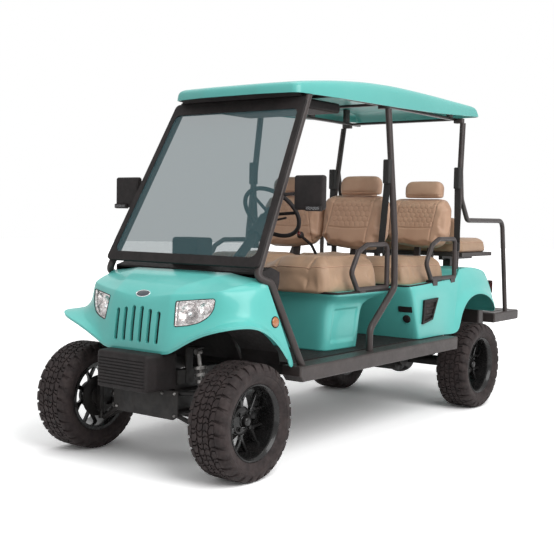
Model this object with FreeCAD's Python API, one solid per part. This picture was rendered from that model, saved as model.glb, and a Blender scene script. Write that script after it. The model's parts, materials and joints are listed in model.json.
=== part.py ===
import FreeCAD
import Part
import math
import os

V = FreeCAD.Vector

# Driving sizes in millimetres. X runs forward, Y to the driver's side and Z up from the ground.
# X is zero midway between the axles here, and every piece is moved on export so that the part's
# origin lies under the middle of its whole length.
WHEELBASE = 2530.0
TRACK = 1090.0
FRONT_OVERHANG = 295.0
REAR_OVERHANG = 1035.0

# Wheels
TYRE_RADIUS = 292.0
TYRE_WIDTH = 225.0
RIM_RADIUS = 190.0
RIM_WIDTH = 188.0
BARREL_RADIUS = 178.0
BARREL_WALL = 10.0
FLANGE_THICKNESS = 8.0
HUB_RADIUS = 72.0
HUB_BACK = -18.0
LUG_COUNT = 20
LUG_DEPTH = 9.0
SPINDLE_RADIUS = 15.0
RUNNING_GAP = 0.3
SPOKE_COUNT = 6
NUT_COUNT = 4
NUT_CIRCLE_RADIUS = 50.8

# Front axle
KINGPIN_INSET = 105.0
KINGPIN_HALF_SPAN = 95.0
BRAKE_RADIUS = 112.0
STEERING_ARM = 120.0
TRACK_ROD_RADIUS = 10.0
RACK_RADIUS = 24.0
ARM_TUBE_RADIUS = 12.0
EYE_HALF_HEIGHT = 13.0
SHOCK_EYE = 15.0
SHOCK_HEAD_Z = 605.0
SUBFRAME_HALF_WIDTH = 175.0

# Rear axle
AXLE_TUBE_RADIUS = 36.0
DIFFERENTIAL_RADIUS = 112.0
MOTOR_RADIUS = 92.0
MOTOR_RISE = 26.0
LEAF = 8.0

# Chassis
FLOOR_TOP = 535.0
FLOOR_THICKNESS = 25.0
RAIL_CENTRE_Y = 175.0
RAIL_WIDTH = 50.0
RAIL_HEIGHT = 70.0
RAIL_FRONT_X = 1352.0
STEP_OUTER_Y = 660.0
STEP_INNER_Y = 545.0
STEP_FRONT_X = 930.0
STEP_REAR_X = -860.0
STEP_TOP = 530.0
STEP_DEPTH = 82.0
TOE_TOP = 806.0
FLOOR_REAR_X = -500.0

# Body
PANEL = 6.0
NOSE_X = 1455.0
NOSE_BOTTOM = 617.0
NOSE_HALF_WIDTH = 235.0
HOOD_REAR_X = 1138.0
COWL_HALF_WIDTH = 585.0
ARCH_APEX = 765.0
BRIM_HALF_WIDTH = 618.0
SEAT_DECK = 865.0
REAR_DECK = 962.0
SIDE_HALF_WIDTH = 562.0
FOOTREST_TOP = 602.0
PLATFORM_FRONT_X = -1850.0
PLATFORM_BOTTOM = 528.0
MAT_RISE = 3.0

# Roof: a shell crowned both ways over a rounded plan
ROOF_FRONT_X = 780.0
ROOF_REAR_X = -1450.0
ROOF_HALF_WIDTH = 505.0
ROOF_CREST_X = -566.0
ROOF_TOP = 2110.0
ROOF_LONG_RADIUS = 10294.0
ROOF_CROSS_RADIUS = 3036.0
ROOF_RIM_FRONT = ROOF_TOP - 134
ROOF_RIM_REAR = ROOF_TOP - 80
ROOF_SKIN = 12.0
ROOF_CORNER_RADIUS = 110.0
CONSOLE_DEPTH = 58.0

# Windshield, held in front of the pillars
SCREEN_DEPTH = 16.0
SCREEN_EDGE = 34.0
SCREEN_CORNER = 38.0

# Tubes
PILLAR_RADIUS = 20.0
PILLAR_FOOT = V(862, 615, 530)
PILLAR_KNEE = V(1073, 566, 962)
PILLAR_ELBOW = V(1134, 525, 990)
PILLAR_HEAD = V(608, 449, ROOF_RIM_FRONT - 26)
PILLAR_TOP = ROOF_RIM_FRONT - 19
GRAB_RADIUS = 17.0
RESTRAINT_RADIUS = 15.0

# Seat backs: foot and head X of the seated face for each forward-facing row
FRONT_BACK = (-150.0, -195.0)
SECOND_BACK = (-985.0, -1025.0)
THIRD_BACK_X = -1290.0
BACK_LOW = 1092.0
BACK_HIGH = 1440.0
BACK_THICKNESS = 88.0
THIRD_BACK_THICKNESS = 80.0

# Steering wheel
WHEEL_HUB_Y = 225.0
WHEEL_HUB_Z = 1318.0
SCREEN_CLEARANCE = 366.0
WHEEL_RADIUS = 170.0
COLUMN_SLOPE = 40.0
COLUMN_END_X = 968.0
GRIP_RADIUS = 12.0
WHEEL_HUB_DEPTH = 44.0

# Rear flip seat
FLIP_HINGE_X = -1885.0
FLIP_HINGE_Z = 1045.0
FLIP_PIN_RADIUS = 8.0
FLIP_ARM_Y = (222.0, 250.0)
FLIP_DECK = (1032.0, 1060.0)
FLIP_FRONT_X = -1385.0

FRONT_AXLE_X = WHEELBASE / 2
REAR_AXLE_X = -WHEELBASE / 2
WHEEL_Y = TRACK / 2
KINGPIN_Y = WHEEL_Y - KINGPIN_INSET
AXLE_Z = TYRE_RADIUS
BUMPER_FRONT_X = FRONT_AXLE_X + FRONT_OVERHANG
FOOTREST_REAR_X = REAR_AXLE_X - REAR_OVERHANG
ORIGIN_X = (BUMPER_FRONT_X + FOOTREST_REAR_X) / 2
RAIL_TOP = FLOOR_TOP - FLOOR_THICKNESS
RAIL_BOTTOM = RAIL_TOP - RAIL_HEIGHT
RACK_Z = AXLE_Z - 38
ARM_PIVOT_Y = SUBFRAME_HALF_WIDTH + ARM_TUBE_RADIUS + RUNNING_GAP
LOWER_PIVOT_Z = AXLE_Z - 2
LOWER_EYE_Z = AXLE_Z - KINGPIN_HALF_SPAN - RUNNING_GAP - EYE_HALF_HEIGHT
SHOCK_FOOT_SHARE = (KINGPIN_Y - 110 - ARM_PIVOT_Y) / (KINGPIN_Y - 18 - ARM_PIVOT_Y)
SHOCK_SEAT_Z = LOWER_PIVOT_Z + SHOCK_FOOT_SHARE * (LOWER_EYE_Z - 7 - LOWER_PIVOT_Z) + 10
SHOCK_FOOT = V(FRONT_AXLE_X, KINGPIN_Y - 110, SHOCK_SEAT_Z + ARM_TUBE_RADIUS + SHOCK_EYE + RUNNING_GAP)
SHOCK_HEAD = V(FRONT_AXLE_X, 258, SHOCK_HEAD_Z)
PILLAR_LEAN = (PILLAR_HEAD.x - PILLAR_ELBOW.x) / (PILLAR_HEAD.z - PILLAR_ELBOW.z)
SCREEN_SET = (PILLAR_RADIUS + SCREEN_DEPTH / 2 + 0.6) * math.sqrt(1 + PILLAR_LEAN ** 2)
SCREEN_BASE_Z = 1038.0
SCREEN_HEAD_Z = ROOF_RIM_FRONT - 36
SCREEN_FOOT_X = PILLAR_ELBOW.x - PILLAR_LEAN * PILLAR_ELBOW.z + SCREEN_SET
SCREEN_BASE = V(SCREEN_FOOT_X + PILLAR_LEAN * SCREEN_BASE_Z, 0, SCREEN_BASE_Z)
SCREEN_HEAD = V(SCREEN_FOOT_X + PILLAR_LEAN * SCREEN_HEAD_Z, 0, SCREEN_HEAD_Z)
SCREEN_LENGTH = SCREEN_BASE.distanceToPoint(SCREEN_HEAD)
SCREEN_SLOPE = (SCREEN_HEAD.x - SCREEN_BASE.x) / (SCREEN_HEAD.z - SCREEN_BASE.z)
WHEEL_HUB_X = SCREEN_BASE.x + SCREEN_SLOPE * (WHEEL_HUB_Z - SCREEN_BASE.z) - SCREEN_CLEARANCE
WHEEL_HUB = V(WHEEL_HUB_X, WHEEL_HUB_Y, WHEEL_HUB_Z)
COLUMN_LENGTH = (COLUMN_END_X - WHEEL_HUB_X) / math.cos(math.radians(COLUMN_SLOPE))


def export(name, solids):
    shape = solids[0] if len(solids) == 1 else Part.makeCompound(solids)
    shape.translate(V(-ORIGIN_X, 0, 0))
    shape.exportStep("parts/" + name + ".step")


def mirrored(shape):
    return shape.mirror(V(0, 0, 0), V(0, 1, 0))


def pair(shape):
    return [shape, mirrored(shape)]


def block(x, y, z):
    return Part.makeBox(x[1] - x[0], y[1] - y[0], z[1] - z[0], V(x[0], y[0], z[0]))


def rounded_block(x, y, z, radius):
    solid = block(x, y, z)
    return solid.makeFillet(radius, solid.Edges)


def polygon(points):
    return Part.Wire(Part.makePolygon(points + points[:1]).Edges)


def side_prism(outline, y0, y1):
    """Solid of an outline of (x, z) points, from y0 to y1."""
    return Part.Face(polygon([V(x, y0, z) for x, z in outline])).extrude(V(0, y1 - y0, 0))


def plan_prism(outline, z0, z1):
    """Solid of an outline of (x, y) points, from z0 to z1."""
    return Part.Face(polygon([V(x, y, z0) for x, y in outline])).extrude(V(0, 0, z1 - z0))


def cylinder(start, end, radius):
    return Part.makeCylinder(radius, start.distanceToPoint(end), start, end - start)


def bent_path(points, bend):
    """Straight runs joined by tangent arcs."""
    edges = []
    start = points[0]
    for before, corner, after in zip(points, points[1:], points[2:]):
        back = (before - corner).normalize()
        ahead = (after - corner).normalize()
        half_angle = back.getAngle(ahead) / 2
        setback = bend / math.tan(half_angle)
        inward = (back + ahead).normalize()
        first = corner + back * setback
        last = corner + ahead * setback
        middle = corner + inward * (bend / math.sin(half_angle) - bend)
        edges.append(Part.LineSegment(start, first).toShape())
        edges.append(Part.Arc(first, middle, last).toShape())
        start = last
    edges.append(Part.LineSegment(start, points[-1]).toShape())
    return Part.Wire(edges)


def tube(points, radius, bend):
    section = Part.Wire(Part.makeCircle(radius, points[0], points[1] - points[0]))
    return bent_path(points, bend).makePipeShell([section], True, True)


def revolve_about_axle(outline, axle):
    """Ring of an outline of (radius, offset along Y) points round a wheel's axis."""
    face = Part.Face(polygon([axle + V(0, offset, radius) for radius, offset in outline]))
    return face.revolve(axle, V(0, 1, 0), 360)


def fuse(solids):
    return solids[0].multiFuse(solids[1:]).removeSplitter()


def tyre(axle):
    """Carcass with notches across both shoulders that leave a ring of lugs on each."""
    half = TYRE_WIDTH / 2
    seat = RIM_WIDTH / 2 - FLANGE_THICKNESS - RUNNING_GAP
    bore = BARREL_RADIUS + RUNNING_GAP
    flank = [(bore, seat), (RIM_RADIUS + 1, seat), (RIM_RADIUS + 8, half - 18), (235, half),
             (268, half - 4), (TYRE_RADIUS - 8, half - 14), (TYRE_RADIUS, half - 34)]
    carcass = revolve_about_axle([(r, -w) for r, w in flank] + flank[::-1], axle)
    notches = []
    for side in (1, -1):
        reach = sorted((side * (half - 38), side * (half + 5)))
        for index in range(LUG_COUNT):
            notch = block((-6, 6), reach, (TYRE_RADIUS - LUG_DEPTH, TYRE_RADIUS + 5)).translate(axle)
            notches.append(notch.rotate(axle, V(0, 1, 0), (index + 0.25 * side) * 360.0 / LUG_COUNT))
    return carcass.cut(Part.makeCompound(notches))


def rim(axle, side):
    """Barrel with two flanges, and a hub with split spokes set deep inside it."""
    half = RIM_WIDTH / 2
    inner = BARREL_RADIUS - BARREL_WALL
    barrel = revolve_about_axle(
        [(inner, -half), (RIM_RADIUS, -half), (RIM_RADIUS, -half + FLANGE_THICKNESS),
         (BARREL_RADIUS, -half + FLANGE_THICKNESS), (BARREL_RADIUS, half - FLANGE_THICKNESS),
         (RIM_RADIUS, half - FLANGE_THICKNESS), (RIM_RADIUS, half), (inner, half)], axle)
    bore = SPINDLE_RADIUS + RUNNING_GAP
    hub = revolve_about_axle([(r, HUB_BACK + w) for r, w in (
        (bore, 0), (HUB_RADIUS, 0), (HUB_RADIUS, 28), (30, 32), (26, 54), (22, 66), (0, 68), (0, 40),
        (bore, 40))], axle)
    spoke_y = (HUB_BACK + 4, HUB_BACK + 24)
    spokes = []
    for index in range(SPOKE_COUNT):
        stem = block((-12, 12), spoke_y, (HUB_RADIUS - 8, 110)).translate(axle)
        pieces = [stem]
        for lean in (24, -24):
            fork = block((-8, 8), spoke_y, (0, 88)).rotate(V(0, 0, 0), V(0, 1, 0), lean)
            pieces.append(fork.translate(axle + V(0, 0, 96)))
        spokes += [piece.rotate(axle, V(0, 1, 0), 360.0 * index / SPOKE_COUNT) for piece in pieces]
    envelope = revolve_about_axle([(0, -half), (BARREL_RADIUS - 2, -half), (BARREL_RADIUS - 2, half),
                                   (0, half)], axle)
    spokes = [piece.common(envelope) for piece in spokes]
    for index in range(NUT_COUNT):
        nut = cylinder(axle + V(0, HUB_BACK + 26, NUT_CIRCLE_RADIUS),
                       axle + V(0, HUB_BACK + 44, NUT_CIRCLE_RADIUS), 10)
        spokes.append(nut.rotate(axle, V(0, 1, 0), 45 + 360.0 * index / NUT_COUNT))
    whole = fuse([barrel, hub] + spokes)
    return whole if side > 0 else whole.mirror(axle, V(0, 1, 0))


def wheels():
    for end, x in (("front", FRONT_AXLE_X), ("rear", REAR_AXLE_X)):
        for name, side in (("left", 1), ("right", -1)):
            axle = V(x, side * WHEEL_Y, AXLE_Z)
            export("tyre_" + end + "_" + name, [tyre(axle)])
            export("rim_" + end + "_" + name, [rim(axle, side)])


def knuckle():
    """Left upright with its spindle, kingpin bosses, brake plate and steering arm."""
    pin = V(FRONT_AXLE_X, KINGPIN_Y, AXLE_Z)
    upright = block((-26, 26), (-13, 13), (-72, 72)).translate(pin)
    bosses = cylinder(pin - V(0, 0, KINGPIN_HALF_SPAN), pin + V(0, 0, KINGPIN_HALF_SPAN), 16)
    web = cylinder(pin + V(0, 12, 0), pin + V(0, 26, 0), 60)
    plate = cylinder(pin + V(0, 25, 0), pin + V(0, 34, 0), BRAKE_RADIUS)
    flange = cylinder(pin + V(0, 33, 0), pin + V(0, KINGPIN_INSET + HUB_BACK - RUNNING_GAP, 0), 42)
    spindle = cylinder(pin, pin + V(0, KINGPIN_INSET + HUB_BACK + 38, 0), SPINDLE_RADIUS)
    arm = block((-STEERING_ARM, -20), (-12, 12), (-66, -50)).translate(pin)
    eye = cylinder(pin + V(-STEERING_ARM, 0, -66), pin + V(-STEERING_ARM, 0, -50), 15)
    return fuse([upright, bosses, web, plate, flange, spindle, arm, eye])


def suspension_arms():
    """Upper and lower wishbones of one side, each with an eye on the kingpin's line."""
    arms = []
    near = KINGPIN_HALF_SPAN + RUNNING_GAP
    for level, inner_z in ((1, AXLE_Z + 105), (-1, LOWER_PIVOT_Z)):
        eye_z = AXLE_Z + level * (near + EYE_HALF_HEIGHT)
        eye = cylinder(V(FRONT_AXLE_X, KINGPIN_Y, eye_z - EYE_HALF_HEIGHT),
                       V(FRONT_AXLE_X, KINGPIN_Y, eye_z + EYE_HALF_HEIGHT), 20)
        legs = [cylinder(V(FRONT_AXLE_X + x, ARM_PIVOT_Y, inner_z),
                         V(FRONT_AXLE_X, KINGPIN_Y - 18, eye_z + level * 7), ARM_TUBE_RADIUS)
                for x in (-95, 95)]
        bar = cylinder(V(FRONT_AXLE_X - 105, ARM_PIVOT_Y, inner_z),
                       V(FRONT_AXLE_X + 105, ARM_PIVOT_Y, inner_z), ARM_TUBE_RADIUS)
        pieces = [eye, bar] + legs
        if level < 0:
            pieces.append(cylinder(V(FRONT_AXLE_X - 40, SHOCK_FOOT.y, SHOCK_SEAT_Z),
                                   V(FRONT_AXLE_X + 40, SHOCK_FOOT.y, SHOCK_SEAT_Z), ARM_TUBE_RADIUS))
        arms.append(fuse(pieces))
    return arms


def front_shock():
    """Coil-over unit of one side, drawn as a damper inside a stack of coil rings."""
    rod = cylinder(SHOCK_FOOT, SHOCK_HEAD, 12)
    axis = (SHOCK_HEAD - SHOCK_FOOT).normalize()
    rings = []
    for index in range(7):
        centre = SHOCK_FOOT + axis * (60 + 34 * index)
        rings.append(cylinder(centre, centre + axis * 16, 32))
    eyes = [cylinder(end - V(16, 0, 0), end + V(16, 0, 0), SHOCK_EYE) for end in (SHOCK_FOOT, SHOCK_HEAD)]
    return fuse([rod] + rings + eyes)


def subframe():
    low = RACK_Z + RACK_RADIUS + RUNNING_GAP
    core = block((1125, 1345), (-SUBFRAME_HALF_WIDTH, SUBFRAME_HALF_WIDTH), (low, RAIL_BOTTOM))
    half = SUBFRAME_HALF_WIDTH - 25
    void = block((1160, 1320), (-half, half), (low - 5, RAIL_BOTTOM + 5))
    skid = side_prism([(1351, 262), (1357, 262), (1373, 402), (1367, 402)], -172, 172)
    returns = [block((1344, 1362), (y, y + 5), (268, 395)) for y in (-172, 167)]
    return fuse([core.cut(void), skid] + returns)


def frame_rails():
    outer = RAIL_CENTRE_Y + RAIL_WIDTH / 2
    inner = RAIL_CENTRE_Y - RAIL_WIDTH / 2
    rear = FOOTREST_REAR_X + 60
    rail = block((rear, RAIL_FRONT_X), (inner, outer), (RAIL_BOTTOM, RAIL_TOP))
    members = [block((x, x + 50), (-inner - 5, inner + 5), (RAIL_BOTTOM + 5, RAIL_TOP - 5))
               for x in (1250, 850, 300, -250, -800, -1640, rear)]
    outriggers = []
    for x in (820, 380, -60, -500, -800):
        arm = block((x, x + 40), (outer - 5, STEP_INNER_Y - RUNNING_GAP), (RAIL_BOTTOM + 25, RAIL_TOP))
        outriggers += pair(arm)
    tower_top = SHOCK_HEAD_Z + SHOCK_EYE + RUNNING_GAP + 8
    towers = pair(block((1240, 1290), (outer - 8, outer + 2), (RAIL_BOTTOM, tower_top)))
    tower_caps = pair(block((1240, 1290), (outer - 8, SHOCK_HEAD.y + 20), (tower_top - 8, tower_top)))
    hangers = []
    for x in (-870, -1690):
        hangers += pair(block((x, x + 30), (outer - 5, 275), (RAIL_BOTTOM, RAIL_BOTTOM + 14)))
    return fuse(pair(rail) + members + outriggers + towers + tower_caps + hangers)


def floor_pan():
    """Flat floor between the steps, notched for the front wheels, with a sloped toe board."""
    edge = STEP_INNER_Y - RUNNING_GAP
    half = [(920, 268), (868, 272), (868, edge), (FLOOR_REAR_X, edge)]
    outline = half + [(x, -y) for x, y in half[::-1]]
    floor = plan_prism(outline, RAIL_TOP, FLOOR_TOP)
    toe = side_prism([(900, FLOOR_TOP - 10), (920, FLOOR_TOP - 10), (1090, TOE_TOP - 6), (1076, TOE_TOP)],
                     -262, 262)
    return fuse([floor, toe])


def side_step():
    """Box beam of one side with rounded outer edges and a chin that slants in below its front end."""
    bottom = STEP_TOP - STEP_DEPTH
    beam = side_prism([(STEP_REAR_X, bottom), (STEP_FRONT_X - 30, bottom), (STEP_FRONT_X, bottom + 34),
                       (STEP_FRONT_X, STEP_TOP), (STEP_REAR_X, STEP_TOP)], STEP_INNER_Y, STEP_OUTER_Y)
    outer_edges = [e for e in beam.Edges if all(abs(v.Y - STEP_OUTER_Y) < 0.1 for v in e.Vertexes)]
    return beam.makeFillet(10, outer_edges)


def between_levels(shape, low, high):
    """The part of a shape between two heights, so that tubes end flat on what they stand on."""
    box = shape.BoundBox
    return shape.common(block((box.XMin - 1, box.XMax + 1), (box.YMin - 1, box.YMax + 1), (low, high)))


def arch_wire(y, grow):
    """Closed outline of the front wheel opening, grown outward by grow."""
    front = V(1470 + grow, y, ARCH_APEX - 22 + grow)
    top = V(1245, y, ARCH_APEX + grow)
    over = V(1370, y, ARCH_APEX - 4 + grow)
    back = V(972 - grow, y, 600)
    flank = V(1084 - grow * 0.6, y, 697 + grow * 0.7)
    foot = V(920 - grow, y, 400)
    edges = [Part.Arc(front, over, top).toShape(), Part.Arc(top, flank, back).toShape(),
             Part.LineSegment(back, foot).toShape(), Part.LineSegment(foot, V(front.x, y, 400)).toShape(),
             Part.LineSegment(V(front.x, y, 400), front).toShape()]
    return Part.Wire(edges)


def arch_solid(y0, y1, grow):
    return Part.Face(arch_wire(y0, grow)).extrude(V(0, y1 - y0, 0))


def cowl_mass(inset):
    """The cowl's outer form, or with an inset the space inside its panels."""
    front = [V(NOSE_X + 20, y, z - inset) for y, z in (
        (0, 908), (205, 897), (300, 884), (430, 872), (520, 760), (540, 480))]
    rear = [V(860, y, z - inset) for y, z in (
        (0, 1125), (360, 1112), (520, 1092), (COWL_HALF_WIDTH + 7, 1060), (COWL_HALF_WIDTH + 15, 760),
        (COWL_HALF_WIDTH + 27, 480))]
    sections = []
    for half in (front, rear):
        side = [V(p.x, max(p.y - inset, 0), p.z) for p in half]
        sections.append(polygon(side + [V(p.x, -p.y, p.z) for p in side[:0:-1]]))
    hood = Part.makeLoft(sections, True, True)
    nose = NOSE_X - inset
    plan = [(nose, 0), (nose - 6, NOSE_HALF_WIDTH - inset), (1330 - inset, COWL_HALF_WIDTH - 145 - inset),
            (1215, COWL_HALF_WIDTH - 45 - inset), (860, COWL_HALF_WIDTH + 30 - inset)]
    footprint = plan_prism(plan + [(x, -y) for x, y in plan[:0:-1]], 400, 1200)
    lower = 5 * inset
    tube_gap = (PILLAR_RADIUS + 2) * 1.14
    heel = PILLAR_FOOT.x + tube_gap - lower
    shoulder = PILLAR_KNEE.x + tube_gap - lower
    profile = side_prism([(nose + 4, NOSE_BOTTOM - lower), (nose - 14, 1000), (HOOD_REAR_X - lower, 1200),
                          (HOOD_REAR_X - lower, 1006), (shoulder, PILLAR_KNEE.z),
                          (heel, STEP_TOP + RUNNING_GAP - lower), (1200, STEP_TOP + RUNNING_GAP - lower),
                          (1250, NOSE_BOTTOM - lower)], -700, 700)
    return hood.common(footprint).common(profile)


def nose_swoop():
    """Cutter below the headlights that lets the nose sweep up into the fender."""
    sections = []
    for y, top in ((NOSE_HALF_WIDTH + 4, NOSE_BOTTOM), (440, ARCH_APEX - 22)):
        sections.append(polygon([V(x, y, z) for x, z in ((1500, top), (1500, 400), (880, 400), (880, top))]))
    return Part.makeLoft(sections, True, True)


def front_cowl():
    shell = cowl_mass(0).cut(cowl_mass(PANEL))
    for side in pair(arch_solid(440, 700, 0)) + pair(nose_swoop()) + pair(front_pillar(2)):
        shell = shell.cut(side)
    for index in range(6):
        y = (index - 2.5) * 60
        height = 812 - abs(index - 2.5) * 8
        slot = block((NOSE_X - 40, NOSE_X + 20), (y - 13, y + 13), (650, height - 13))
        top = cylinder(V(NOSE_X - 40, y, height - 13), V(NOSE_X + 20, y, height - 13), 13)
        shell = shell.cut(slot).cut(top)
    for pocket in pair(headlight_block(1.5)):
        shell = shell.cut(pocket)
    brims = []
    for side in (1, -1):
        ring = arch_solid(500, BRIM_HALF_WIDTH, PANEL).cut(arch_solid(490, BRIM_HALF_WIDTH + 10, 0))
        ring = ring.common(block((PILLAR_FOOT.x + 40, 1468), (480, 640), (STEP_TOP + RUNNING_GAP, 900)))
        brims.append(ring if side > 0 else mirrored(ring))
    solids = fuse([shell] + brims).Solids
    return max(solids, key=lambda solid: solid.Volume)


def headlight_block(grow):
    """Lens body set into the slanted front corner, with a rounded lower outer end."""
    inner = V(NOSE_X - 26, NOSE_HALF_WIDTH + 15, 0)
    outer = V(1338, 430, 0)
    along = (outer - inner).normalize()
    outward = V(-along.y, along.x, 0) * -1
    length = inner.distanceToPoint(outer)
    corners = [(0 - grow, 748 - grow), (length * 0.70, 762 - grow), (length + grow, 812),
               (length + grow, 878 + grow), (0 - grow, 872 + grow)]
    base = [inner + along * s + V(0, 0, z) - outward * 45 for s, z in corners]
    return Part.Face(polygon(base)).extrude(outward * (52 + grow * 20))


def headlights():
    lamp = headlight_block(0)
    mass = cowl_mass(-2)
    return pair(lamp.common(mass))


def wheel_liner():
    """Black liner inside the front arch of one side."""
    edge = COWL_HALF_WIDTH - 37
    shell = arch_solid(300, edge, -1).cut(arch_solid(290, edge + 10, -5))
    keep = block((890, 1285), (270, edge + 10), (FLOOR_TOP + RUNNING_GAP, 900))
    return max(shell.common(keep).Solids, key=lambda solid: solid.Volume)


def front_bumper():
    """Moulded block with horizontal ribs across its face, hollow behind."""
    rear = RAIL_FRONT_X + RUNNING_GAP
    def half_plan(grow):
        return [(BUMPER_FRONT_X - 12 + grow, 168), (BUMPER_FRONT_X - 20 + grow, 180 + grow / 3),
                (BUMPER_FRONT_X - 60, 187 + grow / 3)]
    def form(side, low, high):
        return plan_prism(side + [(x, -y) for x, y in side[::-1]], low, high)
    body = form(half_plan(0) + [(rear, 192)], 418, 606)
    hollow = form([(BUMPER_FRONT_X - 100, 160), (rear - 12, 160)], 400, 590)
    ribs = [form(half_plan(12) + [(BUMPER_FRONT_X - 90, 187)], 432 + 29 * index, 450 + 29 * index)
            for index in range(6)]
    return fuse([body.cut(hollow)] + ribs)


def dash_mass(grow, half_width):
    """The dashboard's outer form, grown by a clearance to trim what is fixed to it."""
    foot = TOE_TOP + RUNNING_GAP
    profile = [(1090, 1010), (1090, foot), (1060, foot), (960, 860), (930, 960), (930, 1010), (1000, 1036)]
    face = Part.Face(polygon([V(x, -half_width, z) for x, z in profile]))
    if grow:
        face = face.makeOffset2D(grow)
    return face.extrude(V(0, 2 * half_width, 0))


def dashboard():
    """Hollow moulding under the windshield with an instrument pod in the middle."""
    inner = [(1092, 1000), (1092, 820), (1062, 820), (968, 866), (940, 962), (942, 1004), (1000, 1026)]
    shell = dash_mass(0, 515).cut(side_prism(inner, -505, 505))
    pod = rounded_block((905, 1035), (-150, 45), (1015, 1175), 18).cut(dash_mass(0, 600))
    return fuse([shell, pod])


def windshield_point(u, v, offset):
    """Point of the windshield's plane, v up its slope and offset along its outward normal."""
    slope = (SCREEN_HEAD - SCREEN_BASE).normalize()
    normal = V(slope.z, 0, -slope.x)
    return SCREEN_BASE + V(0, u, 0) + slope * v + normal * offset


def windshield_panel(half_bottom, half_top, v0, v1, offset, thickness, corner):
    points = [windshield_point(-half_bottom, v0, offset), windshield_point(half_bottom, v0, offset),
              windshield_point(half_top, v1, offset), windshield_point(-half_top, v1, offset)]
    normal = windshield_point(0, 0, 1) - windshield_point(0, 0, 0)
    panel = Part.Face(polygon(points)).extrude(normal * thickness)
    if corner:
        panel = panel.makeFillet(corner, [e for e in panel.Edges if e.Length < thickness + 1])
    return panel


def pillar_y(z):
    """Half distance between the front pillars' centre lines at the level z."""
    share = (z - PILLAR_ELBOW.z) / (PILLAR_HEAD.z - PILLAR_ELBOW.z)
    return PILLAR_ELBOW.y + share * (PILLAR_HEAD.y - PILLAR_ELBOW.y)


def screen_half(v, inset):
    level = SCREEN_BASE.z + v * (SCREEN_HEAD.z - SCREEN_BASE.z) / SCREEN_LENGTH
    return pillar_y(level) + PILLAR_RADIUS - inset


def screen_panel(v0, v1, inset, offset, thickness, corner):
    half_bottom = screen_half(v0, inset)
    half_top = screen_half(v1, inset)
    return windshield_panel(half_bottom, half_top, v0, v1, offset, thickness, corner)


def windshield_frame():
    ring = screen_panel(0, SCREEN_LENGTH, 0, -SCREEN_DEPTH / 2, SCREEN_DEPTH, SCREEN_CORNER - 10)
    edge = SCREEN_EDGE
    return ring.cut(screen_panel(edge + 20, SCREEN_LENGTH - edge - 40, edge, -30, 60, SCREEN_CORNER))


def windshield_glass():
    edge = SCREEN_EDGE + RUNNING_GAP
    return screen_panel(edge + 20, SCREEN_LENGTH - edge - 40, edge, -3, 6, SCREEN_CORNER - RUNNING_GAP)


def front_pillar(grow):
    points = [PILLAR_FOOT - (PILLAR_KNEE - PILLAR_FOOT) * 0.05, PILLAR_KNEE, PILLAR_ELBOW,
              PILLAR_HEAD + (PILLAR_HEAD - PILLAR_ELBOW) * 0.04]
    return between_levels(tube(points, PILLAR_RADIUS + grow, 32), STEP_TOP + RUNNING_GAP, PILLAR_TOP)


def middle_pillar(grow):
    points = [V(148, 592, STEP_TOP - 10), V(148, 592, 655), V(-158, 572, 880), V(-167, 560, 1200),
              V(-182, 484, ROOF_TOP - 130)]
    return between_levels(tube(points, PILLAR_RADIUS + grow, 60), STEP_TOP + RUNNING_GAP, PILLAR_TOP)


def rear_pillar(grow):
    points = [V(-1118, 496, 900), V(-1118, 508, 1420), V(-1197, 484, ROOF_TOP - 130)]
    return between_levels(tube(points, PILLAR_RADIUS + grow, 60), REAR_DECK + RUNNING_GAP, PILLAR_TOP)


def grab_rail():
    """Rail that leaves the rear pillar, runs back and comes down to the foot platform."""
    points = [V(-1148, 500, 1660), V(-1190, 492, 1440), V(-1345, 466, 1293), V(-1975, 452, 1293),
              V(-2084, 452, 580)]
    return between_levels(tube(points, GRAB_RADIUS, 70), FOOTREST_TOP + RUNNING_GAP, PILLAR_TOP)


def roof_mass(inset):
    """The roof's outer form, or with an inset the hollow under its skin."""
    top = ROOF_TOP - inset
    reach = ROOF_HALF_WIDTH + 195
    drop = reach ** 2 / (2 * ROOF_CROSS_RADIUS)
    left = V(ROOF_CREST_X, reach, top - drop)
    right = V(ROOF_CREST_X, -reach, top - drop)
    low = ROOF_TOP - 260
    section = Part.Wire([
        Part.Arc(left, V(ROOF_CREST_X, 0, top), right).toShape(),
        Part.LineSegment(right, V(ROOF_CREST_X, -reach, low)).toShape(),
        Part.LineSegment(V(ROOF_CREST_X, -reach, low), V(ROOF_CREST_X, reach, low)).toShape(),
        Part.LineSegment(V(ROOF_CREST_X, reach, low), left).toShape()])
    hub = V(ROOF_CREST_X, 0, ROOF_TOP - ROOF_LONG_RADIUS)
    face = Part.Face(section)
    face.rotate(hub, V(0, 1, 0), -7)
    crown = face.revolve(hub, V(0, 1, 0), 15)
    plan = block((ROOF_REAR_X + inset, ROOF_FRONT_X - inset),
                 (-ROOF_HALF_WIDTH + inset, ROOF_HALF_WIDTH - inset), (ROOF_TOP - 210, ROOF_TOP + 90))
    corners = [e for e in plan.Edges if abs(e.Vertexes[0].Z - e.Vertexes[-1].Z) > 100]
    plan = plan.makeFillet(ROOF_CORNER_RADIUS - inset, corners)
    margin = 200.0
    slope = (ROOF_RIM_REAR - ROOF_RIM_FRONT) / (ROOF_FRONT_X - ROOF_REAR_X)
    under = [(ROOF_FRONT_X + margin, ROOF_RIM_FRONT - margin * slope - 3 * inset),
             (ROOF_REAR_X - margin, ROOF_RIM_REAR + margin * slope - 3 * inset),
             (ROOF_REAR_X - margin, ROOF_TOP + margin), (ROOF_FRONT_X + margin, ROOF_TOP + margin)]
    return crown.common(plan).common(side_prism(under, -reach, reach))


def roof_shell():
    return roof_mass(0).cut(roof_mass(ROOF_SKIN))


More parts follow.
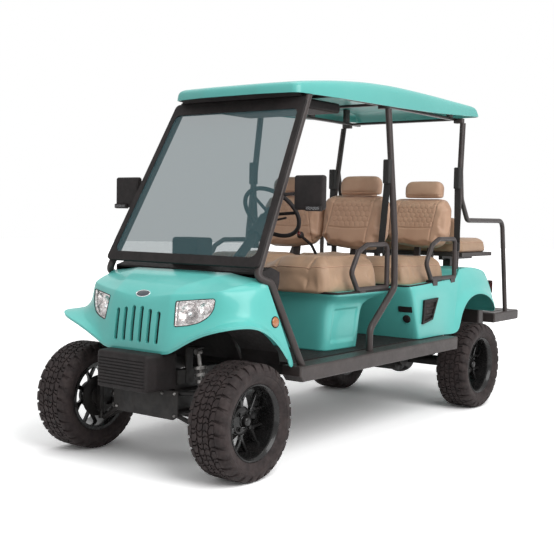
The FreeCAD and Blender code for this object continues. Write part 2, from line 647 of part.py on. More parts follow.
def roof_frame():
    """Two rails and cross bars under the roof, with pads that reach its skin."""
    low = ROOF_RIM_FRONT - 14
    high = ROOF_RIM_FRONT + 12
    rail = block((-1300, 690), (400, 436), (low, high))
    bars = [block((x, x + 36), (-405, 405), (low + 2, high)) for x in (574, 300, -200, -1214)]
    ends = []
    for x in (592, -182, -1195):
        ends += pair(block((x - 24, x + 24), (424, 506), (PILLAR_TOP + RUNNING_GAP, high - 13)))
    pads = []
    for x in (500, -100, -700, -1150):
        pad = block((x, x + 60), (404, 432), (high - 3, ROOF_TOP))
        pads += pair(pad.common(roof_mass(ROOF_SKIN + RUNNING_GAP)))
    return fuse(pair(rail) + bars + ends + pads)


def overhead_console():
    top = ROOF_RIM_FRONT - 12 - RUNNING_GAP
    return rounded_block((120, 520), (-340, 340), (top - CONSOLE_DEPTH, top), 16)


def pod_plan(front, half, rear, z, inset):
    """Plan of the seat box at one height, with its front corners rounded off in three steps."""
    side = [(front - inset, half - 42), (front - 10 - inset, half - 15 - inset / 2),
            (front - 34 - inset / 2, half - 3 - inset), (front - 75, half - inset),
            (rear + 30 + inset / 2, half + 10 - inset), (rear + inset, half - 12 - inset)]
    return polygon([V(x, y, z) for x, y in side] + [V(x, -y, z) for x, y in side[::-1]])


def seat_pod():
    """Front seat box: upright below, flaring to a lip at its top, and open underneath."""
    def form(inset, low, high):
        wall = Part.makeLoft([pod_plan(394, 446, 58, low, inset), pod_plan(404, 470, 57, 762, inset)],
                             True, True)
        flare = Part.makeLoft([pod_plan(404, 470, 57, 762, inset), pod_plan(418, 530, -150, high, inset)],
                              True, True)
        return fuse([wall, flare])
    lip_bottom = SEAT_DECK - 18
    shell = form(0, FLOOR_TOP + RUNNING_GAP, lip_bottom).cut(form(PANEL, FLOOR_TOP - 4, lip_bottom - PANEL))
    lip = Part.Face(pod_plan(428, 541, -160, lip_bottom, 0)).extrude(V(0, 0, SEAT_DECK - lip_bottom))
    shelf = block((-276, -150), (-300, 300), (lip_bottom, SEAT_DECK))
    return fuse([shell, lip, shelf])


def rear_arch_wire(y, grow):
    front = V(-983 + grow, y, 500)
    side = V(-1035 + grow * 0.8, y, 690 + grow * 0.4)
    top = V(-1262, y, 786 + grow)
    back = V(-1560 - grow, y, 660)
    over = V(-1430 - grow * 0.5, y, 750 + grow * 0.8)
    return Part.Wire([Part.Arc(front, side, top).toShape(), Part.Arc(top, over, back).toShape(),
                      Part.LineSegment(back, V(back.x - 80, y, 500)).toShape(),
                      Part.LineSegment(V(back.x - 80, y, 500), front).toShape()])


def rear_arch_solid(y0, y1, grow):
    return Part.Face(rear_arch_wire(y0, grow)).extrude(V(0, y1 - y0, 0))


def rear_mass(inset):
    """Rear body's outer form, or with an inset the space inside its panels."""
    low = FLOOR_TOP + RUNNING_GAP - inset * 2
    seat = SEAT_DECK - inset
    deck = REAR_DECK - inset
    front = [(-507 - inset, low), (-418 - inset, seat + 7)]
    riser = [(-1030 + inset, seat + 40), (-1072 + inset, seat + 60), (-1098 + inset, deck)]
    tail = [(-1330, deck), (-1500, deck - 24), (-1592 + inset, deck - 68), (-1630 + inset, 840),
            (-1634 + inset, 640), (-1610 + inset, low)]
    outline = front + riser + tail
    side = side_prism(outline, -SIDE_HALF_WIDTH - 40, SIDE_HALF_WIDTH + 40)
    wires = []
    for z, front, rear in ((low - 5, -4, -2), (700, 0, 6), (835, -4, 4), (SEAT_DECK + 5, -22, -16),
                           (REAR_DECK + 40, -30, -52)):
        half = [V(-380, SIDE_HALF_WIDTH + front - inset, z), V(-1000, SIDE_HALF_WIDTH + front - inset, z),
                V(-1700, SIDE_HALF_WIDTH + rear - inset, z)]
        wires.append(polygon(half + [V(p.x, -p.y, p.z) for p in half[::-1]]))
    return side.common(Part.makeLoft(wires, True, True))


def rear_body():
    shell = rear_mass(0).cut(rear_mass(PANEL))
    for cutter in pair(rear_arch_solid(300, 700, 0)):
        shell = shell.cut(cutter)
    brim = rear_arch_solid(SIDE_HALF_WIDTH - 27, SIDE_HALF_WIDTH + 44, PANEL)
    brim = brim.cut(rear_arch_solid(SIDE_HALF_WIDTH - 32, SIDE_HALF_WIDTH + 48, 0))
    brim = brim.common(block((-1640, -900), (500, 700), (FLOOR_TOP + RUNNING_GAP, 900)))
    whole = fuse([shell] + pair(brim))
    return max(whole.Solids, key=lambda solid: solid.Volume)


def battery_pack():
    return block((-950, -545), (-300, 300), (RAIL_TOP, 800))


def rear_axle():
    """Live axle: tube, differential case and a brake plate with a spindle on each end."""
    centre = V(REAR_AXLE_X, 0, AXLE_Z)
    case = Part.makeSphere(DIFFERENTIAL_RADIUS, centre)
    case = case.common(block((-DIFFERENTIAL_RADIUS, DIFFERENTIAL_RADIUS), (-80, 80),
                             (-DIFFERENTIAL_RADIUS, DIFFERENTIAL_RADIUS)).translate(centre))
    plate_y = WHEEL_Y - 105
    reach = V(0, plate_y + 15, 0)
    pieces = [cylinder(centre - reach, centre + reach, AXLE_TUBE_RADIUS), case]
    for side in (1, -1):
        def at(y):
            return V(REAR_AXLE_X, side * y, AXLE_Z)
        pieces.append(cylinder(centre, at(WHEEL_Y + HUB_BACK + 38), SPINDLE_RADIUS))
        pieces.append(cylinder(at(plate_y), at(plate_y + 60), 96))
        pieces.append(cylinder(at(plate_y + 58), at(WHEEL_Y + HUB_BACK - RUNNING_GAP), 42))
    return fuse(pieces)


def motor():
    reach = math.sqrt((DIFFERENTIAL_RADIUS + MOTOR_RADIUS + RUNNING_GAP) ** 2 - MOTOR_RISE ** 2)
    centre = V(REAR_AXLE_X + reach, 0, AXLE_Z + MOTOR_RISE)
    body = cylinder(centre - V(0, 170, 0), centre + V(0, 120, 0), MOTOR_RADIUS)
    cap = cylinder(centre + V(0, 120, 0), centre + V(0, 150, 0), 60)
    return fuse([body, cap])


def leaf_spring():
    """Three stacked leaves of one side, bowed between two hangers."""
    pad_top = AXLE_Z + AXLE_TUBE_RADIUS + 8
    sag = RAIL_BOTTOM - RUNNING_GAP - 3 * LEAF - pad_top
    leaves = []
    for index, reach in enumerate((400, 310, 200)):
        top = RAIL_BOTTOM - RUNNING_GAP - LEAF * index
        lift = sag * (reach / 400.0) ** 2
        def arc(z_end, z_mid):
            return Part.Arc(V(REAR_AXLE_X - reach, 215, z_end), V(REAR_AXLE_X, 215, z_mid),
                            V(REAR_AXLE_X + reach, 215, z_end))
        mid = top - sag
        end = mid + lift
        upper = arc(end, mid).toShape()
        lower = arc(end - LEAF, mid - LEAF).toShape()
        closing = [Part.LineSegment(V(REAR_AXLE_X + s * reach, 215, end),
                                    V(REAR_AXLE_X + s * reach, 215, end - LEAF)).toShape() for s in (1, -1)]
        outline = Part.Wire(Part.__sortEdges__([upper, lower] + closing))
        leaves.append(Part.Face(outline).extrude(V(0, 50, 0)))
    saddle = block((-1300, -1230), (212, 268), (AXLE_Z + AXLE_TUBE_RADIUS + RUNNING_GAP, pad_top + 1))
    return fuse(leaves + [saddle])


def foot_platform():
    rear = FOOTREST_REAR_X
    front = PLATFORM_FRONT_X
    tread = rounded_block((rear, front), (-470, 470), (PLATFORM_BOTTOM, FOOTREST_TOP), 12)
    stand = block((rear + 30, front - 50), (-195, 195), (RAIL_TOP, PLATFORM_BOTTOM))
    mat = block((rear + 30, front - 30), (-405, 405), (FOOTREST_TOP - 2, FOOTREST_TOP + MAT_RISE))
    return fuse([tread, stand, mat])


def rear_bumper():
    return rounded_block((-1720, -1636), (-440, 440), (RAIL_TOP + RUNNING_GAP, 640), 14)


def seat_back(x_low, x_high, y, z, thickness):
    """Back that leans from x_low at its foot to x_high at its top."""
    back = side_prism([(x_low, z[0]), (x_low - thickness, z[0]), (x_high - thickness, z[1]), (x_high, z[1])],
                      y[0], y[1])
    return back.makeFillet(24, back.Edges)


def seats():
    front = rounded_block((-140, 480), (-490, 490), (SEAT_DECK + RUNNING_GAP, 1066), 34)
    second = rounded_block((-1015, -445), (-490, 490), (SEAT_DECK, 1050), 34)
    export("seat_cushions", [front, second.cut(rear_mass(-RUNNING_GAP))])
    backs = []
    headrests = []
    for foot, head in (FRONT_BACK, SECOND_BACK):
        backs += pair(seat_back(foot, head, (3, 480), (BACK_LOW, BACK_HIGH), BACK_THICKNESS))
        low = BACK_HIGH + RUNNING_GAP
        headrests += pair(rounded_block((head - 92, head - 12), (125, 415), (low, 1556), 26))
    third = seat_back(THIRD_BACK_X, THIRD_BACK_X, (-420, 420), (1120, 1315), THIRD_BACK_THICKNESS)
    backs.append(third)
    export("seat_backs", backs)
    export("headrests", headrests)


def seat_carrier(foot, head):
    """Upright pair and cross bar behind one row's backs, leaning as they do."""
    lean = (head - foot) / (BACK_HIGH - BACK_LOW)
    def rear_x(z):
        return foot - BACK_THICKNESS + (z - BACK_LOW) * lean - RUNNING_GAP - 0.2
    def plate(low, high, depth, y0, y1):
        return side_prism([(rear_x(low), low), (rear_x(low) - depth, low), (rear_x(high) - depth, high),
                           (rear_x(high), high)], y0, y1)
    upright = plate(SEAT_DECK + RUNNING_GAP, BACK_HIGH - 30, 26, 200, 240)
    bar = plate(BACK_HIGH - 180, BACK_HIGH - 150, 20, -220, 220)
    return fuse(pair(upright) + [bar]).cut(rear_mass(-RUNNING_GAP))


def third_carrier():
    """Uprights on the rear body that hold the rear-facing back."""
    face = THIRD_BACK_X + RUNNING_GAP + 0.2
    upright = block((face, face + 26), (200, 240), (REAR_DECK + RUNNING_GAP, 1290))
    bar = block((face, face + 20), (-220, 220), (1200, 1230))
    return fuse(pair(upright) + [bar])


def hip_restraint(x_shift, z_shift):
    """D-shaped loop of one side on two small feet."""
    y = 540
    points = [V(212, y, 884), V(280, y, 985), V(205, y, 1104), V(115, y, 1141), V(-120, y, 1141),
              V(-120, y, 884)]
    loop = tube(points, RESTRAINT_RADIUS, 36)
    bar = cylinder(V(-120, y, 884), V(212, y, 884), RESTRAINT_RADIUS)
    deck = SEAT_DECK + RUNNING_GAP - z_shift
    feet = [block((x, x + 60), (y - 40, y + 14), (deck, 876)) for x in (-110, 140)]
    shape = fuse([loop, bar] + feet).translate(V(x_shift, 0, z_shift))
    return shape.cut(rear_mass(-RUNNING_GAP))


def flip_deck():
    """Tray under the rear-facing cushion, notched where its hinge pin enters the carrier's eyes."""
    deck = block((FLIP_HINGE_X + 2, FLIP_FRONT_X), (-415, 415), FLIP_DECK)
    hinge = V(FLIP_HINGE_X, 0, FLIP_HINGE_Z)
    for y in (-FLIP_ARM_Y[1] - 6, FLIP_ARM_Y[0] - 6):
        height = (FLIP_DECK[0] - 32, FLIP_DECK[1] + 40)
        deck = deck.cut(block((FLIP_HINGE_X - 5, FLIP_HINGE_X + 26), (y, y + 40), height))
    barrel = cylinder(hinge - V(0, 200, 0), hinge + V(0, 200, 0), 13)
    pin = cylinder(hinge - V(0, FLIP_ARM_Y[1], 0), hinge + V(0, FLIP_ARM_Y[1], 0), FLIP_PIN_RADIUS)
    return fuse([deck, barrel, pin])


def flip_cushion():
    return rounded_block((-1822, FLIP_FRONT_X), (-410, 410), (FLIP_DECK[1] + RUNNING_GAP, 1165), 30)


def flip_carrier():
    """Brackets of one side that hold the flip seat above the rear body, with an eye for its hinge pin."""
    hinge = V(FLIP_HINGE_X, 0, FLIP_HINGE_Z)
    low = FLIP_DECK[0] - 28
    foot = block((-1520, -1470), (FLIP_ARM_Y[0], FLIP_ARM_Y[1] + 30), (REAR_DECK - 40, low + 6))
    foot = foot.cut(rear_mass(-RUNNING_GAP))
    arm = block((FLIP_HINGE_X, FLIP_FRONT_X - 15), FLIP_ARM_Y, (low, FLIP_DECK[0] - RUNNING_GAP))
    eye = cylinder(hinge + V(0, FLIP_ARM_Y[0], 0), hinge + V(0, FLIP_ARM_Y[1], 0), 18)
    web = block((FLIP_HINGE_X - 12, FLIP_HINGE_X + 14), FLIP_ARM_Y, (low, FLIP_HINGE_Z))
    bore = cylinder(hinge + V(0, FLIP_ARM_Y[0] - 9, 0), hinge + V(0, FLIP_ARM_Y[1] + 9, 0),
                    FLIP_PIN_RADIUS + RUNNING_GAP)
    return fuse([foot, arm, eye, web]).cut(bore)


def steering_axis():
    angle = math.radians(COLUMN_SLOPE)
    return V(math.cos(angle), 0, -math.sin(angle))


def steering_wheel():
    axis = steering_axis()
    ring = Part.makeTorus(WHEEL_RADIUS, GRIP_RADIUS, WHEEL_HUB, axis)
    hub = cylinder(WHEEL_HUB - axis * 6, WHEEL_HUB + axis * WHEEL_HUB_DEPTH, 36)
    up = V(-axis.z, 0, axis.x) * -1
    spokes = []
    for turn in (90, 210, 330):
        direction = FreeCAD.Rotation(axis, turn).multVec(up)
        spokes.append(cylinder(WHEEL_HUB + axis * 20, WHEEL_HUB + direction * WHEEL_RADIUS, 9))
    return fuse([ring, hub] + spokes)


def steering_column():
    axis = steering_axis()
    head = WHEEL_HUB + axis * (WHEEL_HUB_DEPTH + RUNNING_GAP)
    sleeve = cylinder(head, WHEEL_HUB + axis * COLUMN_LENGTH, 26).cut(dash_mass(RUNNING_GAP, 600))
    stalk = cylinder(WHEEL_HUB + axis * 90, WHEEL_HUB + axis * 90 + V(0, 150, 30), 6)
    shroud = cylinder(WHEEL_HUB + axis * 60, WHEEL_HUB + axis * 200, 44)
    return fuse([sleeve, shroud, stalk])


def steering_rack():
    rod = V(FRONT_AXLE_X - STEERING_ARM, 0, RACK_Z)
    housing = cylinder(rod - V(0, 150, 0), rod + V(0, 150, 0), RACK_RADIUS)
    bore = cylinder(rod - V(0, 160, 0), rod + V(0, 160, 0), TRACK_ROD_RADIUS + RUNNING_GAP)
    return housing.cut(bore)


def track_rod():
    rod = V(FRONT_AXLE_X - STEERING_ARM, 0, RACK_Z)
    bar = cylinder(rod - V(0, KINGPIN_Y, 0), rod + V(0, KINGPIN_Y, 0), TRACK_ROD_RADIUS)
    eyes = pair(cylinder(rod + V(0, KINGPIN_Y, -11), rod + V(0, KINGPIN_Y, 11), 14))
    return fuse([bar] + eyes)


def pedals():
    pads = []
    for y in (210, 330):
        pad = side_prism([(905, 630), (913, 626), (955, 696), (947, 701)], y, y + 80)
        arm = side_prism([(925, 655), (937, 655), (1014, 860), (1002, 860)], y + 34, y + 46)
        pads.append(fuse([pad, arm.cut(dash_mass(RUNNING_GAP, 600))]))
    return pads


def brake_lever():
    path = [V(-153, 0, SEAT_DECK + RUNNING_GAP), V(-153, 0, 1060), V(-100, 0, 1120), V(20, 0, 1180)]
    return fuse([tube(path, 9, 40), Part.makeSphere(22, V(24, 0, 1184))])


def mirror(y_in, y_out):
    """Housing of one side on a short arm that ends on the front pillar."""
    level = 1410
    share = (level - PILLAR_ELBOW.z) / (PILLAR_HEAD.z - PILLAR_ELBOW.z)
    post = V(PILLAR_ELBOW.x + share * (PILLAR_HEAD.x - PILLAR_ELBOW.x), pillar_y(level), level)
    housing = rounded_block((842, 884), (y_in, y_out), (1332, 1510), 14)
    arm = cylinder(V(866, y_in + 10, level + 6), post, 9)
    whole = fuse([housing, arm]).cut(front_pillar(RUNNING_GAP))
    return max(whole.Solids, key=lambda solid: solid.Volume)


def tail_lamp():
    reach = (SIDE_HALF_WIDTH - 107, SIDE_HALF_WIDTH - 17)
    return rounded_block((-1636, -1560), reach, (770, 862), 8).cut(rear_mass(-RUNNING_GAP))


def seat_belt(x, retractor_y, strap_foot_y, pillar):
    """Retractor fixed to the front of one pillar, with its strap and buckle hanging beside it."""
    retractor = rounded_block((x, x + 46), (retractor_y - 22, retractor_y + 22), (1505, 1650), 8)
    strap = Part.Face(polygon([V(x + 22, retractor_y - 22, 1515), V(x + 22, retractor_y + 22, 1515),
                               V(x + 22, strap_foot_y + 22, 1130), V(x + 22, strap_foot_y - 22, 1130)]))
    strap = strap.extrude(V(3, 0, 0))
    buckle = rounded_block((x + 22, x + 42), (strap_foot_y - 24, strap_foot_y + 24), (1084, 1140), 5)
    return fuse([retractor, strap, buckle]).cut(pillar)


def charge_port():
    """Round socket with a blank plate above it, both on the rear body's front face."""
    centre = V(-470, SIDE_HALF_WIDTH - 85, 662)
    outward = V(0.965, 0, -0.26)
    socket = cylinder(centre - outward * 6, centre + outward * 8, 25)
    plate = block((0, 14), (SIDE_HALF_WIDTH - 126, SIDE_HALF_WIDTH - 20), (0, 40))
    plate.rotate(V(0, 0, 0), V(0, 1, 0), 15)
    plate.translate(V(-470, 0, 706))
    mass = rear_mass(-RUNNING_GAP)
    return [socket.cut(mass), plate.cut(mass)]


def side_vent():
    """Louvred vent of one side in a slanted four-sided frame."""
    corners = [(-551, 781), (-737, 788), (-668, 651), (-534, 629)]
    frame = side_prism(corners, SIDE_HALF_WIDTH - 10, SIDE_HALF_WIDTH + 12)
    middle = V(-622, 0, 712)
    inner = [(middle.x + (x - middle.x) * 0.80, middle.z + (z - middle.z) * 0.80) for x, z in corners]
    frame = frame.cut(side_prism(inner, SIDE_HALF_WIDTH - 12, SIDE_HALF_WIDTH + 14))
    louvres = [side_prism([(-545, z), (-715, z + 4), (-715, z + 14), (-545, z + 10)],
                          SIDE_HALF_WIDTH - 10, SIDE_HALF_WIDTH + 8) for z in (676, 718, 758)]
    bars = [bar.common(side_prism(corners, SIDE_HALF_WIDTH - 12, SIDE_HALF_WIDTH + 14)) for bar in louvres]
    whole = fuse([frame] + bars).cut(rear_mass(-RUNNING_GAP))
    return max(whole.Solids, key=lambda solid: solid.Volume)


def marker_lamp():
    lens = cylinder(V(1084, COWL_HALF_WIDTH - 45, 796), V(1084, COWL_HALF_WIDTH, 796), 19)
    return lens.cut(cowl_mass(-0.8))


def build():
    os.makedirs("parts", exist_ok=True)
    wheels()
    export("knuckle_left", [knuckle()])
    export("knuckle_right", [mirrored(knuckle())])
    arms = suspension_arms()
    export("suspension_arms", arms + [mirrored(arm) for arm in arms])
    export("front_shocks", pair(front_shock()))
    export("front_subframe", [subframe()])
    export("steering_rack", [steering_rack()])
    export("track_rod", [track_rod()])
    export("frame_rails", [frame_rails()])
    export("floor_pan", [floor_pan()])
    export("side_steps", pair(side_step()))
    export("rear_axle", [rear_axle()])
    export("motor", [motor()])
    export("leaf_springs", pair(leaf_spring()))
    export("battery_pack", [battery_pack()])
    export("front_cowl", [front_cowl()])
    export("headlights", headlights())
    export("wheel_liners", pair(wheel_liner()))
    export("front_bumper", [front_bumper()])
    export("dashboard", [dashboard()])
    export("windshield_frame", [windshield_frame()])
    export("windshield_glass", [windshield_glass()])
    export("front_pillars", pair(front_pillar(0)))
    export("middle_pillars", pair(middle_pillar(0)))
    export("rear_pillars", pair(fuse([rear_pillar(0), grab_rail()])))
    export("roof_shell", [roof_shell()])
    export("roof_frame", [roof_frame()])
    export("overhead_console", [overhead_console()])
    export("seat_pod", [seat_pod()])
    export("rear_body", [rear_body()])
    export("foot_platform", [foot_platform()])
    export("rear_bumper", [rear_bumper()])
    seats()
    export("seat_carriers", [seat_carrier(*FRONT_BACK), seat_carrier(*SECOND_BACK), third_carrier()])
    export("hip_restraints", pair(hip_restraint(0, 0)) + pair(hip_restraint(-895, 26)))
    export("flip_deck", [flip_deck()])
    export("flip_cushion", [flip_cushion()])
    export("flip_carrier", pair(flip_carrier()))
    export("steering_column", [steering_column()])
    export("steering_wheel", [steering_wheel()])
    export("pedals", pedals())
    export("brake_lever", [brake_lever()])
    export("mirrors", pair(mirror(560, 742)))
    export("tail_lamps", pair(tail_lamp()))
    export("marker_lamps", pair(marker_lamp()))
    belts = pair(seat_belt(-170, 512, 480, middle_pillar(RUNNING_GAP)))
    export("seat_belts", belts + pair(seat_belt(-1118, 508, 516, rear_pillar(RUNNING_GAP))))
    export("charge_port", charge_port())
    export("side_vents", pair(side_vent()))


build()
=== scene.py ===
import bpy
import bmesh
from contextlib import contextmanager
import json
import math
from mathutils import Matrix, Vector
from mathutils.bvhtree import BVHTree
import numpy as np


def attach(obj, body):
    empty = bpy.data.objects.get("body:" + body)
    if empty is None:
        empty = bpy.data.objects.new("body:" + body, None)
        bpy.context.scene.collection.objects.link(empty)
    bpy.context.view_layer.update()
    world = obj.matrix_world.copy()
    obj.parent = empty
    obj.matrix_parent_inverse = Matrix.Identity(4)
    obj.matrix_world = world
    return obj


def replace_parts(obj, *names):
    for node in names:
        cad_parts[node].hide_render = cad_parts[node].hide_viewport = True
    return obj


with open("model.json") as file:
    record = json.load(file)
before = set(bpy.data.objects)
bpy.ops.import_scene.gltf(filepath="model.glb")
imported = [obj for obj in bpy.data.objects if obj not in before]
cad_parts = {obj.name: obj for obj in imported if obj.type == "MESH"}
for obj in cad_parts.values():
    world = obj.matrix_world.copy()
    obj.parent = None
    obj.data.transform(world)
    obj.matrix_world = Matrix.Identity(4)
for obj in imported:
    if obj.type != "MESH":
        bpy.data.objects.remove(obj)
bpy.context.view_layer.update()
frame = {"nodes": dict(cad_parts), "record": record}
NODES = frame["nodes"]

FOCAL_PIXELS = 974.72
IMAGE_PIXELS = 554
SENSOR_WIDTH = 36
CAMERA_PLACE = Vector((5.3378, 3.5015, 1.2988))
CAMERA_YAW = math.radians(216.637)
CAMERA_PITCH = math.radians(-3.580)
CAMERA_ROLL = math.radians(1.0608)
WORLD_GLOW = 0.54
FLOOR_LIFT = 0.92
# Distances from the middle between which the floor's own glow rises, and its strength at both
FLOOR_FADE = (2.5, 7.0, 0.0, 0.60)


def linked(obj):
    """The object, put into the scene."""
    bpy.context.scene.collection.objects.link(obj)
    return obj


def add_camera():
    ahead = Vector((math.cos(CAMERA_YAW) * math.cos(CAMERA_PITCH),
                    math.sin(CAMERA_YAW) * math.cos(CAMERA_PITCH), math.sin(CAMERA_PITCH)))
    right = ahead.cross(Vector((0, 0, 1))).normalized()
    up = right.cross(ahead)
    c, s = math.cos(CAMERA_ROLL), math.sin(CAMERA_ROLL)
    right, up = right * c + up * s, up * c - right * s
    data = bpy.data.cameras.new("camera")
    data.sensor_width = SENSOR_WIDTH
    data.lens = FOCAL_PIXELS / IMAGE_PIXELS * SENSOR_WIDTH
    camera = linked(bpy.data.objects.new("camera", data))
    turn = Matrix((right, up, -ahead)).transposed()
    camera.matrix_world = Matrix.Translation(CAMERA_PLACE) @ turn.to_4x4()
    bpy.context.scene.camera = camera


def add_light(name, place, target, size, power):
    data = bpy.data.lights.new(name, "AREA")
    data.shape = "DISK"
    data.size = size
    data.energy = power
    light = linked(bpy.data.objects.new(name, data))
    light.location = place
    light.rotation_euler = (Vector(target) - Vector(place)).to_track_quat("-Z", "Y").to_euler()


def add_node(tree, kind, **values):
    """A shader node; values are its inputs, with _ for a space, or its settings. A socket is linked."""
    node = tree.nodes.new("ShaderNode" + kind)
    for key, value in values.items():
        name = key.replace("_", " ")
        if isinstance(value, bpy.types.NodeSocket):
            tree.links.new(value, node.inputs[name])
        elif name in node.inputs:
            node.inputs[name].default_value = value
        else:
            setattr(node, key, value)
    return node


def pair_node(tree, kind, first, second, **values):
    """Output of a node with two inputs of one kind."""
    node = add_node(tree, kind, **values)
    tree.links.new(first, node.inputs[0])
    tree.links.new(second, node.inputs[1])
    return node.outputs[0]


def spread(tree, source, low, high, new_low, new_high):
    """The source's range from low to high stretched to a new one, and held at its ends."""
    node = add_node(tree, "MapRange", Value=source, From_Min=low, From_Max=high, To_Min=new_low,
                    To_Max=new_high)
    return node.outputs["Result"]


def seen_directly(tree):
    """1 for rays from the camera and for those seen in or through the object, else 0."""
    path = add_node(tree, "LightPath").outputs
    seen = pair_node(tree, "Math", path["Is Camera Ray"], path["Is Glossy Ray"], operation="MAXIMUM")
    return pair_node(tree, "Math", seen, path["Is Transmission Ray"], operation="MAXIMUM")


def add_world():
    world = bpy.data.worlds.new("world")
    bpy.context.scene.world = world
    world.use_nodes = True
    tree = world.node_tree
    background = tree.nodes["Background"]
    background.inputs["Color"].default_value = (1, 1, 1, 1)
    strength = spread(tree, seen_directly(tree), 0, 1, WORLD_GLOW, 1)
    tree.links.new(strength, background.inputs["Strength"])


def texture(tree, kind, scale, detail=4.0, stretch=(1, 1, 1)):
    """Value of a texture laid over the object's own metres."""
    source = add_node(tree, "TexCoord").outputs["Object"]
    place = add_node(tree, "Mapping", Vector=source, Scale=stretch).outputs["Vector"]
    if kind == "Noise":
        noise = add_node(tree, "TexNoise", Vector=place, Scale=scale, Detail=detail, Roughness=0.55)
        return noise.outputs["Fac"]
    if kind == "Wave":
        wave = add_node(tree, "TexWave", Vector=place, Scale=scale, Distortion=0.3, bands_direction="Z")
        return wave.outputs["Fac"]
    return add_node(tree, "TexVoronoi", Vector=place, Scale=scale).outputs["Distance"]


def make_material(name, color, rough, tones=None, grain=None, bumps=(), **inputs):
    """Material with a plain colour and roughness, which a viewer without textures shows. Over them come tones,
    (texture, dark, light, low, high), a roughness grain, (texture, low, high), and a chain of bumps, each a
    (texture, strength, distance in metres)."""
    material = bpy.data.materials.new(name)
    material.use_nodes = True
    tree = material.node_tree
    shader = tree.nodes["Principled BSDF"]
    shader.inputs["Base Color"].default_value = (*color, 1)
    shader.inputs["Roughness"].default_value = rough
    for key, value in inputs.items():
        shader.inputs[key.replace("_", " ")].default_value = value
    if tones:
        source, dark, light, low, high = (*tones, 0.35, 0.65)[:5]
        mix = add_node(tree, "Mix", data_type="RGBA")
        mix.inputs[6].default_value = (*dark, 1)
        mix.inputs[7].default_value = (*light, 1)
        tree.links.new(spread(tree, texture(tree, *source), low, high, 0, 1), mix.inputs[0])
        tree.links.new(mix.outputs[2], shader.inputs["Base Color"])
    if grain:
        source, low, high = grain
        tree.links.new(spread(tree, texture(tree, *source), 0.3, 0.7, low, high), shader.inputs["Roughness"])
    normal = None
    for source, strength, distance in bumps:
        bump = add_node(tree, "Bump", Height=texture(tree, *source), Strength=strength, Distance=distance)
        if normal:
            tree.links.new(normal, bump.inputs["Normal"])
        normal = bump.outputs["Normal"]
    if normal:
        tree.links.new(normal, shader.inputs["Normal"])
    return material


def add_floor():
    """Pale ground that glows towards the horizon where it is looked at."""
    bpy.ops.mesh.primitive_circle_add(vertices=96, radius=40, fill_type="NGON")
    floor = bpy.context.object
    floor.name = "floor"
    material = make_material("floor", (0.62, 0.62, 0.62), 0.9, Specular_IOR_Level=0.1,
                             Emission_Color=(1, 1, 1, 1))
    tree = material.node_tree
    shader = tree.nodes["Principled BSDF"]
    seen = seen_directly(tree)
    source = add_node(tree, "TexCoord").outputs["Object"]
    reach = add_node(tree, "VectorMath", Vector=source, operation="LENGTH").outputs["Value"]
    glow = pair_node(tree, "Math", spread(tree, reach, *FLOOR_FADE), seen, operation="MULTIPLY")
    tree.links.new(glow, shader.inputs["Emission Strength"])
    pale = add_node(tree, "BsdfDiffuse", Color=spread(tree, seen, 0, 1, 0, FLOOR_LIFT))
    surface = pair_node(tree, "AddShader", shader.outputs[0], pale.outputs[0])
    tree.links.new(surface, tree.nodes["Material Output"].inputs["Surface"])
    floor.data.materials.append(material)


add_camera()
add_world()
add_floor()
add_light("key", (2.4, 6.0, 5.5), (0.2, 0, 0.8), 6.0, 450)
add_light("top", (-0.2, 0, 6.5), (0, 0, 1), 4.5, 80)
bpy.context.scene.view_settings.view_transform = "Standard"


PAINT_TONES = ((0.112, 0.525, 0.478), (0.130, 0.555, 0.508))


def paint_material(name, depth):
    """Glossy moulded-in colour; the depth scales how light it is, and below 1 it gives a darker copy as
    painted shade.
    """
    dark, light = [[value * depth for value in tone] for tone in PAINT_TONES]
    return make_material(name, light, 0.40, (("Noise", 3.0), dark, light), (("Noise", 40.0), 0.34, 0.44),
                         [(("Noise", 420.0, 2.0), 0.02, 0.0003)], Coat_Weight=0.30, Coat_Roughness=0.10,
                         Specular_IOR_Level=0.35)


def leather_material(name, dark, light):
    return make_material(name, light, 0.5, (("Noise", 7.0, 6.0), dark, light, 0.3, 0.7),
                         (("Noise", 35.0), 0.43, 0.58), [(("Noise", 25.0, 3.0), 0.15, 0.003),
                                                         (("Voronoi", 520.0), 0.30, 0.0006)],
                         Specular_IOR_Level=0.35, Sheen_Weight=0.08)


def lens_material(name, color, alpha, rough):
    return make_material(name, color, rough, grain=(("Noise", 30.0), rough, rough + 0.05),
                         Specular_IOR_Level=0.6, Coat_Weight=0.5, Alpha=alpha)


PAINT = paint_material("body_paint", 1.0)
# The roof's copy of the body paint is darkened to 0.8: painted shade on the roof.
SHADED_ROOF_PAINT = paint_material("roof_paint_painted_shade", 0.80)
STEEL_COAT = make_material("coated_steel", (0.044, 0.034, 0.033), 0.46,
                           (("Noise", 9.0, 6.0), (0.036, 0.028, 0.027), (0.052, 0.041, 0.039)),
                           (("Noise", 60.0), 0.36, 0.50), [(("Noise", 900.0, 2.0), 0.25, 0.0003)],
                           Specular_IOR_Level=0.30)
CHASSIS = make_material("chassis_steel", (0.012, 0.0105, 0.0105), 0.55,
                        (("Noise", 14.0, 6.0), (0.012, 0.011, 0.011), (0.028, 0.025, 0.023)),
                        (("Noise", 30.0), 0.38, 0.62), [(("Noise", 500.0), 0.3, 0.0004)],
                        Specular_IOR_Level=0.25)
PLASTIC = make_material("moulded_plastic", (0.016, 0.013, 0.013), 0.62,
                        (("Noise", 12.0, 5.0), (0.012, 0.010, 0.010), (0.020, 0.016, 0.016)),
                        (("Noise", 50.0), 0.55, 0.70), [(("Voronoi", 700.0), 0.35, 0.0003)],
                        Specular_IOR_Level=0.22)
TAN = leather_material("tan_leather", (0.455, 0.275, 0.185), (0.545, 0.345, 0.235))
TAN_LIGHT = leather_material("light_tan_leather", (0.375, 0.240, 0.155), (0.45, 0.295, 0.195))
